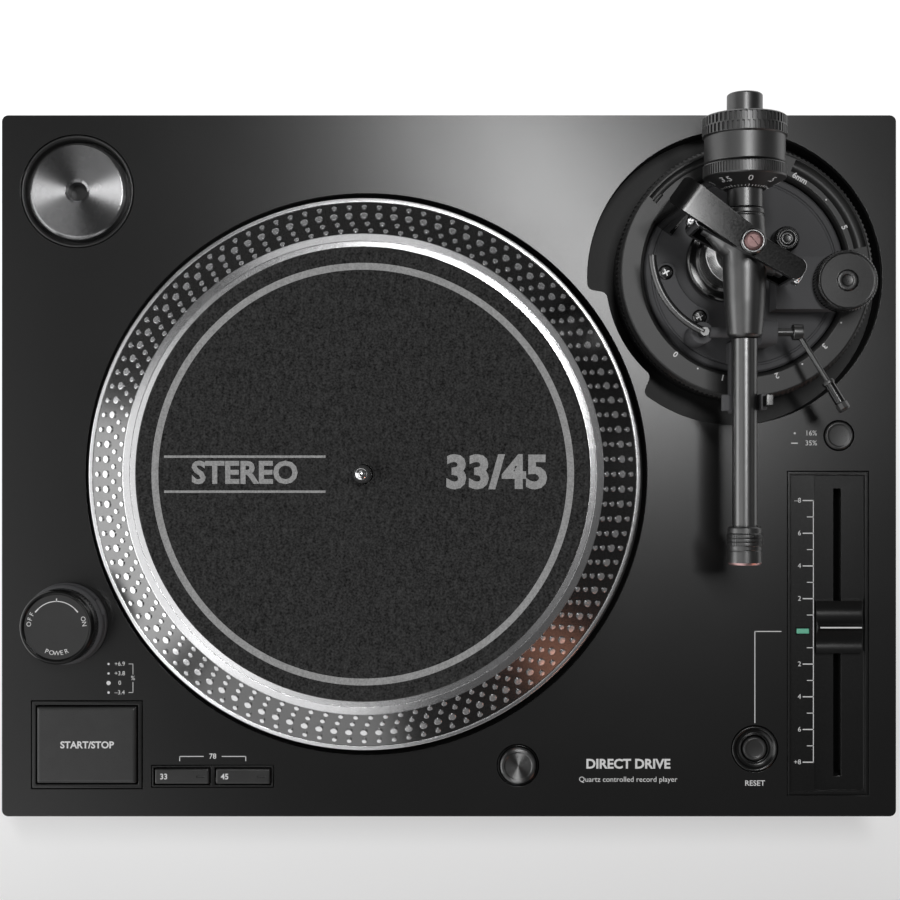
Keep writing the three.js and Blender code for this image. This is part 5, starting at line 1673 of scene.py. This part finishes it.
class TURNTABLE_OT_balance(bpy.types.Operator):
    """Turns the shaft, the force dial with its scale, the bush and the counterweight"""

    bl_idname = "turntable.balance"
    bl_label = "Counterweight and dial"

    def execute(self, context):
        at, axis = Spot("pivot_cap"), Spot("arm_tube").z
        shaft = on_arm(mm((0, -56), (5.9, -56), (6.5, -55.4), (6.5, -14.3), (0, -14.3)))
        done(shaft, "balance_shaft", "arm", "anodised_black", ["counterweight_shaft"])
        top = axis + 6.5 * MM
        line = printed_line(at.x, at.y + 15 * MM, at.x, at.y + 19.8 * MM, 0.4 * MM, top)
        done(line, "force_index_line", "arm", "white_ink")
        self.dial(at, axis)

        bush = on_arm(mm((6.75, -46.5), (9, -46.5), (9, -31), (6.75, -31), (6.75, -46.5)))
        done(bush, "balance_bush", "weight_bush", "cast_steel", ["weight_bush"])
        weight = turned(mm(
            (9.3, -47.5), (14.6, -47.5), (15.4, -46.9), (15.4, -43.8), (15.4, -43.4), (15.4, -40.3),
            (14.65, -39.8), (14.65, -30.5), (14.2, -30), (11.6, -30), (11.2, -30.6), (9.3, -30.6),
            (9.3, -47.5)), 0.1 * MM, 104)
        notched(weight, 104, 0.75 * MM, -46.8 * MM, -43.8 * MM, 15.3 * MM)
        notched(weight, 104, 0.75 * MM, -43.4 * MM, -40.4 * MM, 15.3 * MM, 1)
        settle(weight, at.x, at.y, axis, facing="FRONT")
        done(weight, "balance_weight", "counterweight", "weight_black", ["counterweight"])
        return {"FINISHED"}

    def dial(self, at, axis):
        dial = turned(mm(
            (6.75, -29.7), (14.9, -29.7), (15.2, -29.4), (15.2, -25.5), (14.9, -25.0), (14.5, -24.8),
            (7.4, -21.0), (6.75, -20.9), (6.75, -29.7)), 0.12 * MM, 168)
        notched(dial, 168, 0.5 * MM, -29.3 * MM, -25.6 * MM, 15.1 * MM)
        settle(dial, at.x, at.y, axis, facing="FRONT")
        done(dial, "force_dial", "weight_dial", "weight_black", ["weight_dial"])
        slope = Vector((14.5 - 7.4, -24.8 + 21.0)).normalized()
        middle = Vector((10.9 * MM, -22.87 * MM))
        marks = []
        for step in range(40):
            turn = step * FULL / 40
            if step % 5 == 0:
                words = lettering(("0", ".5", "1", "1.5", "2", "2.5", "3", "3.5")[step // 5], 4.0 * MM)
                marks.append(self.on_cone(words, at, axis, turn, middle + slope * 0.9 * MM, slope))
            long = step % 5 == 0
            tick = block(0.22 * MM, (1.1 if long else 0.7) * MM, -SINK, INK)
            foot = middle - slope * (3.0 if long else 3.2) * MM
            marks.append(self.on_cone(tick, at, axis, turn, foot, slope))
        done(grouped(*marks), "force_dial_scale", "weight_dial", "white_ink")

    def on_cone(self, obj, at, axis, turn, spot, slope):
        """Sets a flat mark on the dial's cone, its top pointing outward. Spot is a radius and a
        distance in front of the pivot."""
        outward = Vector((math.sin(turn), 0, math.cos(turn)))
        forward = Vector((0, -1, 0))
        up = outward * slope.x + forward * slope.y
        normal = (forward * slope.x - outward * slope.y).normalized()
        side = up.cross(normal)
        place = Vector((at.x, at.y, axis)) + outward * spot.x + forward * spot.y
        obj.matrix_world = Matrix.Translation(place) @ Matrix((side, up, normal)).transposed().to_4x4()
        use(obj)
        bpy.ops.object.transform_apply(location=True, rotation=True, scale=True)
        return obj


# ------------------------------------------------------------------ rear and inside
class TURNTABLE_OT_rear(bpy.types.Operator):
    """Models the connector bay at the back and what sits in it"""

    bl_idname = "turntable.rear"
    bl_label = "Rear connectors"

    def execute(self, context):
        bay = worked_copy("rear_bay", 0.3 * MM)
        done(bay, "connector_bay", "plinth", "black_plastic", ["rear_bay"])
        floor = Spot("phono_jack_left").front - 0.3 * MM
        for side, shade in (("left", "white_insulator"), ("right", "red_insulator")):
            node = f"phono_jack_{side}"
            at = Spot(node)
            shell = turned(mm(
                (0, 0.3), (6, 0.3), (6, 1.7), (5.7, 2), (4.1, 2.1), (4.1, 8.7), (3.8, 9), (2.9, 9),
                (2.6, 8.7), (2.6, 3), (0, 3)), 0.1 * MM, 64)
            settle(shell, at.x, floor, at.z, facing="BACK")
            coat(shell, "bright_chrome")
            coat(shell, shade,
                 lambda middle, normal: math.hypot(middle.x - at.x, middle.z - at.z) < 2.55 * MM)
            done(shell, f"{node}_shell", "plinth", replaces=[node])
        at = Spot("ground_nut")
        nut = turned(mm(
            (2.2, 1), (4.4, 1), (5, 1.5), (5, 5.4), (4.6, 6), (2.8, 6), (2.2, 5.6), (2.2, 1)), 0.15 * MM, 60)
        notched(nut, 60, 0.25 * MM, 1.8 * MM, 5.2 * MM, 4.9 * MM)
        settle(nut, at.x, floor, at.z, facing="BACK")
        done(nut, "ground_terminal_nut", "ground_nut", "bright_chrome", ["ground_nut"])
        at = Spot("power_inlet")
        socket = turned(mm(
            (0, 0.3), (5.6, 0.3), (5.6, 7.6), (5.2, 8), (3.8, 8), (3.4, 7.6), (3.4, 2), (1, 2), (1, 6.2),
            (0.7, 6.8), (0, 7)), 0.1 * MM, 64)
        settle(socket, at.x, floor, at.z, facing="BACK")
        coat(socket, "gloss_plastic")
        coat(socket, "bright_chrome",
             lambda middle, normal: math.hypot(middle.x - at.x, middle.z - at.z) < 1.1 * MM)
        done(socket, "power_socket", "plinth", replaces=["power_inlet"])
        switch = worked_copy("line_switch", 0.25 * MM)
        done(switch, "line_switch_tab", "line_switch", "button_plastic", ["line_switch"])
        marks = []
        z = Spot("rear_bay").high + 3.2 * MM
        for words, node in (
                ("PHONO / LINE", "line_switch"), ("L", "phono_jack_left"), ("R", "phono_jack_right"),
                ("GND", "ground_nut"), ("DC IN", "power_inlet")):
            label = lettering(words, 2.6 * MM)
            marks.append(settle(label, Spot(node).x, Spot("chassis").back, z, "FRONT", math.pi))
        done(grouped(*marks), "rear_legends", "plinth", "white_ink")
        return {"FINISHED"}


class TURNTABLE_OT_inside(bpy.types.Operator):
    """Gives the frame's own inner parts their finishes"""

    bl_idname = "turntable.inside"
    bl_label = "Inner parts"

    def execute(self, context):
        for node, finish in (
                ("control_board", "circuit_board"), ("motor_stator", "copper_windings"),
                ("bearing_housing", "cast_steel"), ("rotor_magnet", "ferrite")):
            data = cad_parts[node].data
            data.materials.clear()
            data.materials.append(bpy.data.materials[finish])
        return {"FINISHED"}


# ------------------------------------------------------------------ stage
class TURNTABLE_OT_stage(bpy.types.Operator):
    """Lays the floor, hangs the lights and sets the camera straight overhead"""

    bl_idname = "turntable.stage"
    bl_label = "Floor, lights and camera"

    def execute(self, context):
        stage = context.scene.turntable_stage
        bpy.ops.object.select_all(action="DESELECT")
        bpy.ops.mesh.primitive_plane_add(size=8, location=(0, 0, 0))
        floor = bpy.context.object
        floor.name = "floor"
        coat(floor, "floor_paper")
        world = bpy.data.worlds.new("studio")
        world.use_nodes = True
        sky = world.node_tree.nodes["Background"]
        sky.inputs["Color"].default_value = (1, 1, 1, 1)
        sky.inputs["Strength"].default_value = stage.sky
        context.scene.world = world
        self.lamp("key", (0.15, 0.315, 1.5), 0.1, 0.5, 7.4, roll=61)
        self.lamp("left", (-1.25, -0.30, 0.38), 1.3, 0.6, 7)
        self.lamp("left_high", (-0.85, -0.2, 1.2), 1.3, 0.85, 3.2)
        self.lamp("front", (-0.41, -1.13, 0.3), 1.0, 0.45, 1.6)
        self.lamp("front_high", (-0.45, -0.9, 1.2), 0.9, 0.7, 1.8)
        self.lamp("back", (-0.15, 1.1, 1.15), 1.0, 0.5, 1.1)
        self.lamp("right", (1.2, 0.1, 0.7), 0.3, 0.3, 0.15)
        self.lamp("warm", (0.75, -0.8, 0.2), 0.25, 0.15, 0.35, (1, 0.45, 0.3))
        bpy.ops.object.camera_add(
            location=(stage.camera_x, stage.camera_y, stage.camera_height), rotation=(0, 0, 0))
        camera = bpy.context.object
        camera.data.lens = stage.lens
        camera.data.sensor_width = 36
        camera.data.shift_y = stage.shift
        camera.data.clip_end = 20
        context.scene.camera = camera
        context.scene.view_settings.view_transform = "Standard"
        return {"FINISHED"}

    def lamp(self, name, place, width, depth, power, shade=(1, 1, 1), roll=0.0):
        """A softbox aimed at the plinth's middle."""
        aim = (Vector((0, 0, DECK)) - Vector(place)).to_track_quat("-Z", "Y").to_matrix()
        turn = aim @ Matrix.Rotation(math.radians(roll), 3, "Z")
        bpy.ops.object.light_add(type="AREA", location=place, rotation=turn.to_euler())
        light = bpy.context.object
        light.name = f"light_{name}"
        light.data.shape = "RECTANGLE"
        light.data.size = width
        light.data.size_y = depth
        light.data.energy = power
        light.data.color = shade


# ------------------------------------------------------------------ panel and registration
OPERATORS = (
    TURNTABLE_OT_plinth, TURNTABLE_OT_feet, TURNTABLE_OT_dishes, TURNTABLE_OT_platter, TURNTABLE_OT_mat,
    TURNTABLE_OT_adapter, TURNTABLE_OT_power, TURNTABLE_OT_buttons, TURNTABLE_OT_target_light,
    TURNTABLE_OT_pitch, TURNTABLE_OT_round_buttons, TURNTABLE_OT_deck_print, TURNTABLE_OT_height_ring,
    TURNTABLE_OT_arm_base, TURNTABLE_OT_bracket, TURNTABLE_OT_side_controls, TURNTABLE_OT_lift,
    TURNTABLE_OT_arm_rest, TURNTABLE_OT_gimbal, TURNTABLE_OT_arm, TURNTABLE_OT_balance, TURNTABLE_OT_rear,
    TURNTABLE_OT_inside, TURNTABLE_OT_stage,
)
GROUPS = {
    "turntable_sizes": TurntableSizes,
    "turntable_colours": TurntableColours,
    "turntable_stage": TurntableStage,
}


class TURNTABLE_PT_panel(bpy.types.Panel):
    """Lists the sizes, the colours and the operators."""

    bl_idname = "TURNTABLE_PT_panel"
    bl_label = "Turntable"
    bl_space_type = "VIEW_3D"
    bl_region_type = "UI"
    bl_category = "Turntable"

    def draw(self, context):
        for name, group in GROUPS.items():
            box = self.layout.box()
            for key in group.__annotations__:
                box.prop(getattr(context.scene, name), key)
        for operator in OPERATORS:
            self.layout.operator(operator.bl_idname)


def register():
    for kind in (*GROUPS.values(), *OPERATORS, TURNTABLE_PT_panel):
        bpy.utils.register_class(kind)
    for name, group in GROUPS.items():
        setattr(bpy.types.Scene, name, PointerProperty(type=group))


def unregister():
    for name in GROUPS:
        delattr(bpy.types.Scene, name)
    for kind in reversed((*GROUPS.values(), *OPERATORS, TURNTABLE_PT_panel)):
        bpy.utils.unregister_class(kind)


def main():
    register()
    mix_finishes()
    for operator in OPERATORS:
        group, name = operator.bl_idname.split(".")
        getattr(getattr(bpy.ops, group), name)()


if __name__ == "__main__":
    main()
